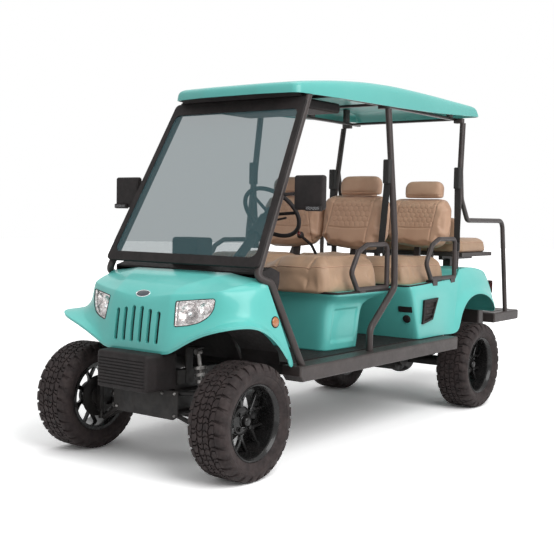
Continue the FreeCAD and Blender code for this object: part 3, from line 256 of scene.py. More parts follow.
RUBBER = make_material("tyre_rubber", (0.030, 0.025, 0.023), 0.75,
                       (("Noise", 22.0, 8.0), (0.017, 0.012, 0.012), (0.040, 0.029, 0.028)),
                       (("Noise", 60.0), 0.62, 0.85), [(("Noise", 160.0, 6.0), 0.35, 0.0012)],
                       Specular_IOR_Level=0.3)
GLOSS_BLACK = make_material("gloss_black", (0.010, 0.009, 0.009), 0.26,
                            (("Noise", 20.0), (0.008, 0.008, 0.008), (0.014, 0.013, 0.013)),
                            (("Noise", 80.0), 0.22, 0.34), Coat_Weight=0.2, Specular_IOR_Level=0.25)
MACHINED = make_material("machined_metal", (0.62, 0.61, 0.60), 0.22,
                         (("Noise", 90.0), (0.50, 0.49, 0.48), (0.74, 0.73, 0.72)),
                         (("Noise", 300.0, 4.0, (1, 14, 1)), 0.16, 0.34),
                         [(("Noise", 1200.0, 2.0, (1, 9, 1)), 0.12, 0.0002)], Metallic=1.0)
CHROME = make_material("chrome", (0.80, 0.80, 0.81), 0.07, grain=(("Noise", 60.0), 0.05, 0.12), Metallic=1.0)
REFLECTOR = make_material("lamp_reflector", (0.60, 0.55, 0.53), 0.14,
                          (("Noise", 55.0), (0.34, 0.29, 0.28), (0.78, 0.75, 0.74)),
                          bumps=[(("Noise", 130.0, 1.0), 0.6, 0.004)], Metallic=1.0)
STEEL = make_material("plain_steel", (0.32, 0.31, 0.30), 0.4,
                      (("Noise", 30.0, 8.0), (0.10, 0.092, 0.088), (0.30, 0.29, 0.28)),
                      (("Noise", 80.0), 0.3, 0.55), Metallic=0.9)
GLASS = make_material("tinted_glass", (0.055, 0.122, 0.138), 0.12, grain=(("Noise", 6.0), 0.08, 0.14),
                      Specular_IOR_Level=0.3, Alpha=0.46)
CLEAR = lens_material("clear_lens", (0.9, 0.92, 0.95), 0.12, 0.05)
AMBER = lens_material("amber_lens", (0.46, 0.15, 0.04), 0.95, 0.16)
RED = lens_material("red_lens", (0.10, 0.006, 0.006), 0.97, 0.12)
WEBBING = make_material("webbing", (0.012, 0.011, 0.011), 0.8,
                        (("Wave", 160.0), (0.008, 0.008, 0.008), (0.020, 0.018, 0.018)),
                        bumps=[(("Wave", 160.0), 0.5, 0.0006)])
THREAD = make_material("thread", (0.50, 0.36, 0.26), 0.7,
                       (("Noise", 900.0), (0.42, 0.29, 0.20), (0.60, 0.45, 0.33)))
SMOKED = lens_material("smoked_metal", (0.045, 0.065, 0.085), 1.0, 0.2)
AMBER_METAL = lens_material("amber_reflector", (0.52, 0.24, 0.13), 1.0, 0.22)
ENAMEL = lens_material("dark_enamel", (0.012, 0.022, 0.036), 1.0, 0.22)

SLOT_MATERIALS = {
    "tyre": RUBBER, "rim_black": GLOSS_BLACK, "body_paint": PAINT, "trim_black": PLASTIC,
    "steel_black": STEEL_COAT, "chassis_black": CHASSIS, "steel": STEEL, "seat_tan": TAN, "glass": GLASS,
    "lamp_clear": CLEAR, "lamp_red": RED, "lamp_amber": AMBER, "grip": PLASTIC, "belt": WEBBING}

for part in frame["record"]["subparts"]:
    node = NODES[part["node"]]
    node.data.materials.clear()
    node.data.materials.append(SLOT_MATERIALS[part["material_slot"]])

SHIFT = Vector((0.370, 0, 0))
MIRROR_Y = Matrix.Scale(-1, 4, (0, 1, 0))


def finished(obj):
    """The object with its modifiers applied."""
    bpy.context.view_layer.update()
    graph = bpy.context.evaluated_depsgraph_get()
    mesh = bpy.data.meshes.new_from_object(obj.evaluated_get(graph))
    obj.modifiers.clear()
    obj.data = mesh
    return obj


def mesh_object(name, verts, faces, smooth=True):
    mesh = bpy.data.meshes.new(name)
    mesh.from_pydata([tuple(v) for v in verts], [], faces)
    mesh.update()
    if smooth:
        mesh.shade_smooth()
    return linked(bpy.data.objects.new(name, mesh))


@contextmanager
def editing(obj):
    """The object's mesh opened for changes and written back after them."""
    mesh = bmesh.new()
    mesh.from_mesh(obj.data)
    yield mesh
    mesh.to_mesh(obj.data)
    mesh.free()


def built(name, mesh):
    """An object of a mesh made from nothing, which is given up."""
    data = bpy.data.meshes.new(name)
    mesh.to_mesh(data)
    mesh.free()
    return linked(bpy.data.objects.new(name, data))


def from_mid(x, y, z):
    """A point given in millimetres from midway between the axles, in the part's frame in metres."""
    return Vector((x / 1000 + SHIFT.x, y / 1000, z / 1000))


def grid_faces(rows, columns):
    return [(r * columns + c, r * columns + c + 1, (r + 1) * columns + c + 1, (r + 1) * columns + c)
            for r in range(rows - 1) for c in range(columns - 1)]


def ring_faces(rings, count):
    """Faces between closed rings of vertices, ring by ring."""
    faces = []
    for start in range(0, (rings - 1) * count, count):
        for i in range(count):
            j = (i + 1) % count
            faces.append((start + i, start + j, start + count + j, start + count + i))
    return faces


def modifier(obj, kind, **values):
    item = obj.modifiers.new(kind.lower(), kind)
    for key, value in values.items():
        setattr(item, key, value)


def subtract(obj, cutter):
    modifier(obj, "BOOLEAN", operation="DIFFERENCE", solver="EXACT", object=cutter)
    finished(obj)
    bpy.data.objects.remove(cutter)


def face_outwards(obj):
    with editing(obj) as mesh:
        bmesh.ops.recalc_face_normals(mesh, faces=mesh.faces)
    return obj


def tidy_shading(obj, degrees):
    """Smooth shading with sharp edges where faces meet at more than the angle."""
    obj.data.shade_smooth()
    limit = math.radians(degrees)
    with editing(obj) as mesh:
        for edge in mesh.edges:
            if len(edge.link_faces) == 2 and edge.calc_face_angle(0) > limit:
                edge.smooth = False
    return obj


def crease_edges(obj, sharp):
    """Subdivision crease weights from a function of an edge's two end points."""
    with editing(obj) as mesh:
        layer = mesh.edges.layers.float.new("crease_edge")
        for edge in mesh.edges:
            edge[layer] = sharp(edge.verts[0], edge.verts[1])


def placed(obj, matrix):
    obj.data.transform(matrix)
    if matrix.determinant() < 0:
        obj.data.flip_normals()
    return obj


def in_slot(obj, index):
    """The object with all its faces in one material slot."""
    for face in obj.data.polygons:
        face.material_index = index
    return obj


def dress(obj, material, body, slot):
    """Gives a piece its material and its body; the slot is not used."""
    obj.data.materials.clear()
    for item in material if isinstance(material, list) else [material]:
        obj.data.materials.append(item)
    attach(obj, body)
    return obj


# Wheels, built round the Y axis at the origin with the outer face towards +Y. Profiles are (radius, offset
# from the middle) points, and a tread block's corners are (offset, share of a pitch).
PITCHES = 29
TREAD_HEIGHT = 0.0095
BLOCKS = [[(-0.068, 0.02), (-0.047, 0.05), (-0.037, 0.42), (-0.040, 0.78), (-0.052, 0.62), (-0.068, 0.60)],
          [(-0.068, 0.70), (-0.054, 0.72), (-0.041, 0.88), (-0.036, 1.22), (-0.046, 0.94), (-0.068, 0.92)],
          [(-0.034, 0.02), (-0.020, -0.10), (-0.003, 0.12), (-0.003, 0.50), (-0.018, 0.40), (-0.030, 0.56)],
          [(-0.028, 0.66), (-0.016, 0.50), (-0.003, 0.62), (-0.003, 1.00), (-0.017, 0.80), (-0.032, 0.92)]]
CARCASS = [(0.190, 0.088), (0.1945, 0.0935), (0.203, 0.0975), (0.214, 0.1035), (0.226, 0.1085),
           (0.232, 0.1090), (0.235, 0.1115), (0.245, 0.1120), (0.252, 0.1105), (0.262, 0.1060),
           (0.272, 0.0985), (0.279, 0.0880), (0.2815, 0.070), (0.2825, 0.035), (0.2830, 0.0)]
# Middle of a shoulder lug as (offset, radius), and its section as (share of the half width, lift)
LUG_PATH = [(0.0708, 0.2915), (0.088, 0.2895), (0.0990, 0.2830), (0.1065, 0.2730)]
LUG_SECTION = [(-1.0, -0.0095), (-0.93, -0.0012), (-0.80, 0.0), (0.80, 0.0), (0.93, -0.0012), (1.0, -0.0095)]
BARREL = [(0.178, -0.084), (0.1900, -0.0865), (0.1905, -0.094), (0.172, -0.0935), (0.168, -0.085),
          (0.166, 0.0), (0.1675, 0.060), (0.171, 0.074), (0.176, 0.0835), (0.1795, 0.0865),
          (0.1825, 0.0930), (0.1870, 0.0955), (0.1905, 0.0935), (0.1905, 0.0885), (0.186, 0.0860)]
# Profiles whose offsets count from the back of the hub
RIVET = [(0.0, 0.0295), (0.0030, 0.0290), (0.0050, 0.0270), (0.0055, 0.0235)]
HUB = [(0.072, 0.0), (0.073, 0.018), (0.069, 0.025), (0.060, 0.029), (0.047, 0.031), (0.036, 0.032),
       (0.033, 0.034)]
HUB_CAP = [(0.031, 0.0325), (0.030, 0.037), (0.0265, 0.0395), (0.0255, 0.054), (0.0235, 0.0605),
           (0.019, 0.0650), (0.011, 0.0675), (0.0, 0.0682)]
NUT_SEAT = [(0.0125, 0.030), (0.0118, 0.034), (0.0098, 0.0345)]
NUT = [(0.0100, 0.031), (0.0100, 0.043), (0.0078, 0.047), (0.0, 0.0485)]
RIVET_CIRCLE = 0.103
NUT_CIRCLE = 0.0508
WHEEL_PLACES = {"front_left": (1.635, 0.545), "front_right": (1.635, -0.545),
                "rear_left": (-0.895, 0.545), "rear_right": (-0.895, -0.545)}
AXLE_HEIGHT = 0.292
HUB_BACK = -0.018


def polar(radius, offset, angle):
    return Vector((radius * math.cos(angle), offset, radius * math.sin(angle)))


def ring_of(name, profile, segments, smooth=True):
    """Surface of revolution about Y of an open profile of (radius, offset) points."""
    verts = [polar(r, w, 2 * math.pi * i / segments) for i in range(segments) for r, w in profile]
    count = len(profile)
    faces = []
    for i in range(segments):
        a = i * count
        b = (i + 1) % segments * count
        faces += [(a + j, a + j + 1, b + j + 1, b + j) for j in range(count - 1)]
    return mesh_object(name, verts, faces, smooth)


def join(objects, name):
    """One object of several, each from where it stands."""
    bpy.context.view_layer.update()
    merged = bmesh.new()
    for obj in objects:
        mesh = obj.data.copy()
        mesh.transform(obj.matrix_world)
        merged.from_mesh(mesh)
        bpy.data.meshes.remove(mesh)
        bpy.data.objects.remove(obj)
    return built(name, merged)


def tread_radius(offset):
    """Outer radius of the tread at a distance from the tyre's middle."""
    return 0.292 - 0.0006 * (offset / 0.05) ** 2 - 40 * max(0, abs(offset) - 0.070) ** 2.2


def add_block(mesh, outline):
    """One bevelled tread block over an outline of (offset, angle) points."""
    centre = [sum(p[k] for p in outline) / len(outline) for k in (0, 1)]
    rings = []
    for drop, inset in ((TREAD_HEIGHT + 0.001, 0.0), (0.0014, 0.0), (0.0, 0.05)):
        ring = []
        for w, angle in outline:
            w_in = w + (centre[0] - w) * inset
            angle_in = angle + (centre[1] - angle) * inset
            ring.append(mesh.verts.new(polar(tread_radius(w_in) - drop, w_in, angle_in)))
        rings.append(ring)
    count = len(outline)
    for low, high in zip(rings, rings[1:]):
        for i in range(count):
            mesh.faces.new((low[i], low[(i + 1) % count], high[(i + 1) % count], high[i]))
    mesh.faces.new(rings[-1])


def add_lug(mesh, side, angle, width, reach):
    """Shoulder lug that wraps from the tread over the sidewall's edge, down to the reach."""
    path = LUG_PATH + [(0.1115, reach)]
    stations = []
    for k, (w, r) in enumerate(path):
        lean = -0.30 * width * k / (len(path) - 1)
        half = width * (0.50 if k < 3 else 0.44)
        row = []
        for share, lift in LUG_SECTION:
            drop_r = lift if k < 2 else lift * 0.55
            drop_w = 0.0 if k < 2 else lift * 0.8
            row.append(mesh.verts.new(polar(r + drop_r, side * (w + drop_w), angle + lean + share * half)))
        stations.append(row)
    for near, far in zip(stations, stations[1:]):
        for j in range(len(near) - 1):
            mesh.faces.new((near[j], near[j + 1], far[j + 1], far[j]))
    mesh.faces.new(stations[0])
    mesh.faces.new(stations[-1][::-1])


def make_tyre():
    carcass = tidy_shading(ring_of("carcass", [(r, -w) for r, w in CARCASS] + CARCASS[-2::-1], 96), 30)
    mesh = bmesh.new()
    pitch = 2 * math.pi / PITCHES
    for index in range(PITCHES):
        start = index * pitch
        for block in BLOCKS:
            add_block(mesh, [(w, start + t * pitch) for w, t in block])
            add_block(mesh, [(-w, start + (0.5 - t) * pitch) for w, t in block])
        for side, offset in ((1, 0.35), (-1, 0.85)):
            add_lug(mesh, side, start + offset * pitch, 0.80 * pitch, 0.2500 if index % 2 else 0.2580)
    bmesh.ops.recalc_face_normals(mesh, faces=mesh.faces)
    return join([carcass, tidy_shading(built("tread", mesh), 25)], "tyre")


def extruded(name, outline, near, far, bevel):
    """Plate over an outline of (across, up) points between two offsets; slot 1 is its bevelled edge."""
    mesh = bmesh.new()
    back = [mesh.verts.new((x, near, z)) for x, z in outline]
    front = [mesh.verts.new((x, far, z)) for x, z in outline]
    count = len(outline)
    mesh.faces.new(back)
    top = mesh.faces.new(front[::-1])
    for i in range(count):
        mesh.faces.new((back[i], front[i], front[(i + 1) % count], back[(i + 1) % count]))
    bmesh.ops.recalc_face_normals(mesh, faces=mesh.faces)
    bmesh.ops.bevel(mesh, geom=list(top.edges), offset=bevel, segments=1, affect="EDGES", material=1)
    return built(name, mesh)


# Half of a split spoke's outline as (across, distance from the axle)
SPOKE = [(0.014, 0.045), (0.0095, 0.080), (0.0120, 0.094), (0.055, 0.166), (0.042, 0.171), (0.0030, 0.108)]


def hub_ring(name, profile, segments, smooth=True):
    """Ring whose profile's offsets count from the back of the hub."""
    return ring_of(name, [(r, HUB_BACK + w) for r, w in profile], segments, smooth)


def about_axle(obj, angle, radius=0.0):
    obj.matrix_world = Matrix.Rotation(angle, 4, "Y") @ Matrix.Translation((0, 0, radius))
    return obj


def make_rim():
    """Deep barrel with thin split spokes; slots 0 black, 1 machined edges, 2 chrome."""
    barrel = tidy_shading(ring_of("barrel", BARREL, 96), 40)
    for face in barrel.data.polygons:
        if math.hypot(face.center.x, face.center.z) > 0.1865 and face.center.y > 0.088:
            face.material_index = 1
    pieces = [barrel]
    outline = SPOKE + [(-x, z) for x, z in SPOKE[::-1]]
    for index in range(6):
        angle = 2 * math.pi * index / 6
        spoke = extruded("spoke", outline, HUB_BACK + 0.004, HUB_BACK + 0.024, 0.0028)
        pieces.append(about_axle(spoke, angle))
        pieces.append(about_axle(in_slot(hub_ring("rivet", RIVET, 12), 2), angle, RIVET_CIRCLE))
    pieces.append(tidy_shading(hub_ring("hub", HUB, 48), 30))
    pieces.append(in_slot(tidy_shading(hub_ring("cap", HUB_CAP, 40), 50), 2))
    for index in range(4):
        for part in (hub_ring("nut_seat", NUT_SEAT, 20), hub_ring("nut", NUT, 6, smooth=False)):
            pieces.append(about_axle(in_slot(part, 2), math.radians(45 + 90 * index), NUT_CIRCLE))
    return join(pieces, "rim")


def copy_of(obj, name):
    return linked(bpy.data.objects.new(name, obj.data.copy()))


def add_wheels():
    tyre = make_tyre()
    rim = make_rim()
    for place, (x, y) in WHEEL_PLACES.items():
        for source, materials, slot in ((tyre, RUBBER, "tyre"),
                                        (rim, [GLOSS_BLACK, MACHINED, CHROME], "rim_black")):
            wheel = copy_of(source, source.name + "_" + place + "_shown")
            if y < 0:
                placed(wheel, MIRROR_Y)
            wheel.location = (x, y, AXLE_HEIGHT)
            bpy.context.view_layer.update()
            dress(wheel, materials, "wheel_" + place, slot)
            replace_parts(wheel, source.name + "_" + place)
    for source in (tyre, rim):
        bpy.data.objects.remove(source)


add_wheels()


# Upholstery: pads are built over an outline in their own plane, rested on z = 0, then filled by a
# cloth simulation, cut with seams and laid in place.
def rounded_outline(corners, steps=7):
    """Closed outline of (x, y, radius) corners in order, each rounded by its radius."""
    points = []
    count = len(corners)
    for i, (x, y, radius) in enumerate(corners):
        here = Vector((x, y))
        back = (Vector(corners[i - 1][:2]) - here).normalized()
        ahead = (Vector(corners[(i + 1) % count][:2]) - here).normalized()
        half = back.angle(ahead) / 2
        reach = radius / math.tan(half)
        centre = here + (back + ahead).normalized() * (radius / math.sin(half))
        first = here + back * reach - centre
        last = here + ahead * reach - centre
        for k in range(steps + 1):
            share = k / steps
            spoke = first.lerp(last, share)
            points.append(centre + spoke.normalized() * radius)
    return points


def inset_outline(outline, distance):
    count = len(outline)
    moved = []
    for i, point in enumerate(outline):
        along = (outline[(i + 1) % count] - outline[i - 1]).normalized()
        moved.append(point + Vector((-along.y, along.x)) * distance)
    return moved


def pad_form(name, outline, depth, edge_low, edge_high):
    """Closed pad with rounded edges over an outline that runs counter-clockwise."""
    rings = []
    for k in range(5):
        turn = math.pi / 2 * k / 4
        rings.append((edge_low * (1 - math.sin(turn)), edge_low * (1 - math.cos(turn))))
    for k in range(6):
        turn = math.pi / 2 * k / 5
        rings.append((edge_high * (1 - math.cos(turn)), depth - edge_high + edge_high * math.sin(turn)))
    verts = []
    for inset, z in rings:
        verts += [(p.x, p.y, z) for p in inset_outline(outline, inset)]
    count = len(outline)
    faces = [tuple(range(count))[::-1], tuple(range(len(verts) - count, len(verts)))]
    return mesh_object(name, verts, faces + ring_faces(len(rings), count))


def set_vertices(obj, values):
    obj.data.vertices.foreach_set("co", values.astype(np.float32).ravel())
    obj.data.update()


def array_of(obj, attribute="co"):
    values = np.empty(len(obj.data.vertices) * 3, dtype=np.float32)
    obj.data.vertices.foreach_get(attribute, values)
    return values.reshape(-1, 3)


CLOTH = {"quality": 4, "mass": 0.3, "tension_stiffness": 12, "compression_stiffness": 12,
         "bending_stiffness": 0.8, "use_pressure": True, "uniform_pressure_force": 4.0}
CLOTH_FRAMES = 20
HELD_BELOW = 0.012


def fill_pad(obj, voxel, swell):
    """Even mesh, then the stuffing's pressure, no vertex moving further than swell."""
    modifier(obj, "REMESH", mode="VOXEL", voxel_size=voxel)
    finished(obj)
    before = array_of(obj)
    base = obj.vertex_groups.new(name="base")
    base.add([int(i) for i in np.nonzero(before[:, 2] < HELD_BELOW)[0]], 1.0, "REPLACE")
    cloth = obj.modifiers.new("cloth", "CLOTH")
    for key, value in CLOTH.items():
        setattr(cloth.settings, key, value)
    cloth.settings.vertex_group_mass = "base"
    cloth.settings.effector_weights.gravity = 0
    cloth.point_cache.frame_start = 1
    cloth.point_cache.frame_end = CLOTH_FRAMES
    scene = bpy.context.scene
    for number in range(1, CLOTH_FRAMES + 1):
        scene.frame_set(number)
    finished(obj)
    scene.frame_set(1)
    moved = array_of(obj) - before
    length = np.linalg.norm(moved, axis=1, keepdims=True)
    share = np.minimum(1.0, swell / np.maximum(length, 1e-9))
    set_vertices(obj, before + moved * share)
    modifier(obj, "SMOOTH", factor=0.5, iterations=4)
    modifier(obj, "SUBSURF", levels=1, render_levels=1)
    finished(obj)
    obj.data.shade_smooth()


def path_distance(places, path):
    """Distance of each (x, y) to a path of (x, y) points."""
    points = np.array(path, dtype=np.float32)
    best = np.full(len(places), 1e9, dtype=np.float32)
    for a, b in zip(points, points[1:]):
        run = b - a
        share = np.clip(((places - a) @ run) / max(float(run @ run), 1e-12), 0, 1)
        gap = places - (a + share[:, None] * run)
        best = np.minimum(best, np.hypot(gap[:, 0], gap[:, 1]))
    return best


def press_seams(obj, paths, depth, width):
    """Valleys along paths in the pad's upper face."""
    places = array_of(obj)
    normals = array_of(obj, "normal")
    push = np.zeros(len(places), dtype=np.float32)
    for path in paths:
        gap = path_distance(places[:, :2], path)
        push = np.maximum(push, np.exp(-(gap / width) ** 2))
    push *= np.clip(normals[:, 2] * 2.0, 0, 1) * depth
    set_vertices(obj, places - normals * push[:, None])


QUILT_MARGIN = 0.008
STITCH_SHARE = 0.16


def quilt(obj, low, high, pitch, depth):
    """Six-sided stitched cells inside a box from low to high, raised between the stitches."""
    places = array_of(obj)
    normals = array_of(obj, "normal")
    x = places[:, 0]
    y = places[:, 1]
    best = np.full(len(places), 1e9, dtype=np.float32)
    second = np.full(len(places), 1e9, dtype=np.float32)
    rise = pitch * math.sqrt(3) / 2
    for row in range(int((high[1] - low[1]) / rise) + 3):
        for column in range(int((high[0] - low[0]) / pitch) + 3):
            cx = low[0] + (column - 0.5 + 0.5 * (row % 2)) * pitch
            cy = low[1] + (row - 0.5) * rise
            gap = np.hypot(x - cx, y - cy)
            nearer = gap < best
            second = np.where(nearer, best, np.minimum(second, gap))
            best = np.where(nearer, gap, best)
    edge = (second - best) / pitch
    to_side = np.minimum.reduce([x - low[0], high[0] - x, y - low[1], high[1] - y])
    valley = np.exp(-(edge / STITCH_SHARE) ** 2) * np.clip(to_side / QUILT_MARGIN, 0, 1)
    set_vertices(obj, places - normals * (valley * np.clip(normals[:, 2], 0, 1) * depth)[:, None])


def skin_of(obj):
    return BVHTree.FromPolygons([v.co for v in obj.data.vertices], [p.vertices for p in obj.data.polygons])


def laid_on(obj, path, lift):
    """The path's points dropped onto the pad's upper face."""
    skin = skin_of(obj)
    points = []
    for p in path:
        hit, normal, _, _ = skin.ray_cast(Vector((p[0], p[1], 1.0)), Vector((0, 0, -1)))
        if hit:
            points.append((hit + normal * lift, normal))
    return points


def resample(path, step):
    points = [Vector(p[:2]) for p in path]
    lengths = [0.0]
    for a, b in zip(points, points[1:]):
        lengths.append(lengths[-1] + (b - a).length)
    count = max(2, int(lengths[-1] / step))
    result = []
    k = 0
    for i in range(count + 1):
        goal = lengths[-1] * i / count
        while k < len(points) - 2 and lengths[k + 1] < goal:
            k += 1
        share = (goal - lengths[k]) / max(lengths[k + 1] - lengths[k], 1e-9)
        result.append(points[k].lerp(points[k + 1], share))
    return result


def piping(pad, path, radius):
    """Round cord sewn round the pad along a closed path."""
    points = [p for p, _ in laid_on(pad, resample([*path, path[0]], 0.012), 0.0006)]
    return tube_mesh(pad.name + "_piping", points, radius, 8)


def tube_mesh(name, points, radius, sides, closed=False):
    """Tube along points with a steady frame, capped unless it is closed."""
    verts = []
    count = len(points)
    normal = None
    for i, point in enumerate(points):
        if closed:
            along = (points[(i + 1) % count] - points[i - 1]).normalized()
        else:
            along = (points[min(i + 1, count - 1)] - points[max(i - 1, 0)]).normalized()
        if normal is None:
            normal = along.orthogonal().normalized()
        normal = (normal - along * normal.dot(along)).normalized()
        across = along.cross(normal)
        for k in range(sides):
            turn = 2 * math.pi * k / sides
            verts.append(point + (normal * math.cos(turn) + across * math.sin(turn)) * radius)
    faces = ring_faces(count, sides)
    if closed:
        last = (count - 1) * sides
        faces += [(last + k, last + (k + 1) % sides, (k + 1) % sides, k) for k in range(sides)]
    else:
        faces += [tuple(range(sides))[::-1], tuple(range((count - 1) * sides, count * sides))]
    return mesh_object(name, verts, faces)


def stitches(obj, name, paths, length=0.0045, gap=0.0030, radius=0.00055):
    """Rows of single stitches along paths on the pad."""
    verts = []
    faces = []
    for path in paths:
        spots = laid_on(obj, resample(path, length + gap), radius * 0.6)
        for (a, normal), (b, _) in zip(spots, spots[1:]):
            run = (b - a) * (length / (length + gap) / 2)
            if run.length > length:
                continue
            middle = (a + b) / 2
            across = run.cross(normal).normalized() * radius
            up = normal * radius
            start = len(verts)
            verts += [middle - run, middle + across, middle + up, middle - across, middle - up, middle + run]
            for i, j in ((1, 2), (2, 3), (3, 4), (4, 1)):
                faces.append((start, start + j, start + i))
                faces.append((start + 5, start + i, start + j))
    return mesh_object(name, verts, faces, smooth=False)


def beside(path, distance):
    """The path moved sideways."""
    points = [Vector(p[:2]) for p in path]
    moved = []
    for i, point in enumerate(points):
        along = (points[min(i + 1, len(points) - 1)] - points[max(i - 1, 0)]).normalized()
        moved.append(point + Vector((-along.y, along.x)) * distance)
    return moved


# Cowl: rows of points from the hood's edge down to the fenders' brims. Column 0 is the middle of the
# nose, column 5 lies above the headlight's outer end and the last column lies along the front pillar.
HOOD_EDGE = [(1414, 0, 876), (1412, 100, 884), (1402, 192, 899), (1380, 262, 903), (1352, 345, 910),
             (1322, 437, 922), (1296, 452, 930), (1262, 465, 939), (1228, 477, 948), (1196, 487, 955),
             (1166, 496, 961), (1138, 505, 966), (1100, 559, 976)]
LAMP_TOP = [(1434, 0, 846), (1431, 110, 850), (1415, 203, 872), (1400, 250, 880), (1368, 340, 889),
            (1331, 438, 900), (1302, 470, 908), (1268, 496, 916), (1232, 518, 925), (1198, 537, 934),
            (1166, 550, 942), (1132, 561, 948), (1092, 569, 938)]
NOSE_MID = [(1447, 0, 745), (1446, 110, 745), (1440, 203, 745), (1431, 250, 744), (1390, 335, 762),
            (1350, 415, 788), (1322, 462, 812), (1288, 500, 834), (1248, 530, 850), (1208, 551, 856),
            (1164, 566, 852), (1108, 578, 846), (1049, 582, 838)]
LEDGE = [(1455, 0, 668), (1454, 110, 668), (1450, 200, 670), (1444, 244, 682), (1414, 325, 718),
         (1386, 398, 746), (1352, 446, 772), (1316, 484, 792), (1276, 528, 803), (1222, 565, 800),
         (1156, 580, 776), (1078, 588, 744), (1001, 592, 724)]
BRIM_ROOT = [(1457, 0, 634), (1457, 110, 634), (1456, 205, 635), (1449, 243, 650), (1432, 332, 694),
             (1412, 414, 728), (1380, 466, 754), (1340, 506, 773), (1286, 556, 785), (1214, 584, 780),
             (1136, 592, 748), (1036, 596, 676), (956, 599, 632)]
BRIM_EDGE = [(1458, 0, 617), (1458, 110, 617), (1458, 205, 617), (1453, 242, 628), (1457, 330, 674),
             (1464, 430, 722), (1464, 535, 755), (1402, 598, 771), (1290, 612, 770), (1196, 612, 749),
             (1106, 612, 703), (1024, 611, 636), (971, 609, 575)]
BRIM_HEEL = [(900, 603, 524), (955, 609, 522)]
HOOD_ROWS = [
    [(1386, 0, 907), (1382, 100, 908), (1371, 200, 917), (1344, 285, 915), (1318, 372, 926)],
    [(1346, 0, 935), (1342, 108, 935), (1334, 212, 941), (1308, 300, 936), (1284, 388, 938)],
    [(1298, 0, 955), (1294, 120, 954), (1286, 236, 957), (1264, 320, 949), (1246, 404, 949)],
    [(1250, 0, 970), (1246, 132, 969), (1236, 264, 970), (1222, 344, 961), (1208, 420, 958)],
    [(1200, 0, 983), (1197, 144, 982), (1188, 290, 983), (1181, 365, 973), (1174, 436, 967)],
    [(1152, 0, 994), (1150, 156, 993), (1145, 316, 993), (1142, 388, 982), (1140, 452, 974)],
    [(1100, 0, 1004), (1100, 164, 1003), (1100, 332, 1003), (1104, 405, 991), (1106, 470, 984)]]


def cowl_cage():
    """Left half of the cowl: the hood's grid and the belts that hang from its edge."""
    verts = []
    faces = []
    lip = [(x - 3, y - (3 if y > 300 else 0), z - 15) for x, y, z in BRIM_EDGE]
    belts = [HOOD_EDGE, LAMP_TOP, NOSE_MID, LEDGE, BRIM_ROOT, BRIM_EDGE, lip]
    columns = len(HOOD_EDGE)
    for belt in belts:
        verts += [from_mid(*p) for p in belt]
    for r in range(len(belts) - 1):
        for c in range(columns - 1):
            a = r * columns + c
            faces.append((a, a + columns, a + columns + 1, a + 1))
    heel = len(verts)
    verts += [from_mid(*p) for p in BRIM_HEEL]
    root_end = 4 * columns + columns - 1
    edge_end = 5 * columns + columns - 1
    faces.append((root_end, edge_end, heel + 1, heel))
    start = len(verts)
    across = len(HOOD_ROWS[0])
    for row in HOOD_ROWS:
        verts += [from_mid(*p) for p in row]
    index = [list(range(across)) + [across]]
    for r in range(len(HOOD_ROWS)):
        index.append([start + r * across + c for c in range(across)] + [across + 1 + r])
    for r in range(len(index) - 1):
        for c in range(across):
            faces.append((index[r][c], index[r][c + 1], index[r + 1][c + 1], index[r + 1][c]))
    return verts, faces, columns


CUT_REACH = 0.05


def outline_cutter(name, outline, face):
    """Prism over an outline in a face's plane, reaching through the skin."""
    count = len(outline)
    verts = [face.flat(*p, reach) for reach in (CUT_REACH, -CUT_REACH) for p in outline]
    caps = [tuple(range(count))[::-1], tuple(range(count, 2 * count))]
    return face_outwards(mesh_object(name, verts, caps + ring_faces(2, count), smooth=False))


def make_cowl():
    verts, faces, columns = cowl_cage()
    cowl = mesh_object("cowl", verts, faces)
    grid = len(verts) - len(HOOD_ROWS) * len(HOOD_ROWS[0])
    across = len(HOOD_ROWS[0])

    def sharp(a, b):
        """Creases along the hood's edge, its line from the headlight's inner end, the ledge and the brim."""
        i, j = sorted((a.index, b.index))
        if j - i == 1 and j < columns:
            return 0.85 if j < 3 or i > 4 else 0.5
        if i // columns == j // columns == 5:
            return 0.6
        if i // columns == j // columns == 4 and 4 <= i % columns <= 10:
            return 0.7
        on_hood = i >= grid and (i - grid) % across == 2 and j - i == across
        if on_hood or (i == 2 and j == grid + 2):
            return 0.85
        if (i, j) in ((2, 2 + columns), (2 + columns, 2 + 2 * columns), (2 + 2 * columns, 2 + 3 * columns)):
            return 0.65
        return 0.0

    crease_edges(cowl, sharp)
    modifier(cowl, "MIRROR", use_axis=(False, True, False), use_clip=True, merge_threshold=0.0005)
    modifier(cowl, "SUBSURF", levels=3, render_levels=3)
    modifier(cowl, "SOLIDIFY", thickness=0.005, offset=-1, material_offset=1)
    return finished(cowl)


class Face:
    """A plane on the skin: points given across and up in it are dropped onto the skin."""

    def __init__(self, skin, origin, right, up):
        self.skin = skin
        self.origin = origin
        self.right = right.normalized()
        self.normal = right.cross(up).normalized()
        self.up = self.normal.cross(self.right)

    def flat(self, a, b, lift=0.0):
        return self.origin + self.right * a + self.up * b + self.normal * lift

    def on_skin(self, a, b, lift=0.0):
        start = self.flat(a, b, 0.12)
        hit = self.skin.ray_cast(start, -self.normal)[0]
        return (hit or self.flat(a, b)) + self.normal * lift


def both_sides(obj):
    """The piece with its mirror image on the other side."""
    twin = obj.data.copy()
    twin.transform(MIRROR_Y)
    twin.flip_normals()
    with editing(obj) as mesh:
        mesh.from_mesh(twin)
    bpy.data.meshes.remove(twin)
    return obj


def closed_path(outline, step):
    """Outline points no further apart than the step."""
    points = []
    for a, b in zip(outline, outline[1:] + outline[:1]):
        count = max(1, int((b - a).length / step))
        points += [a.lerp(b, k / count) for k in range(count)]
    return points


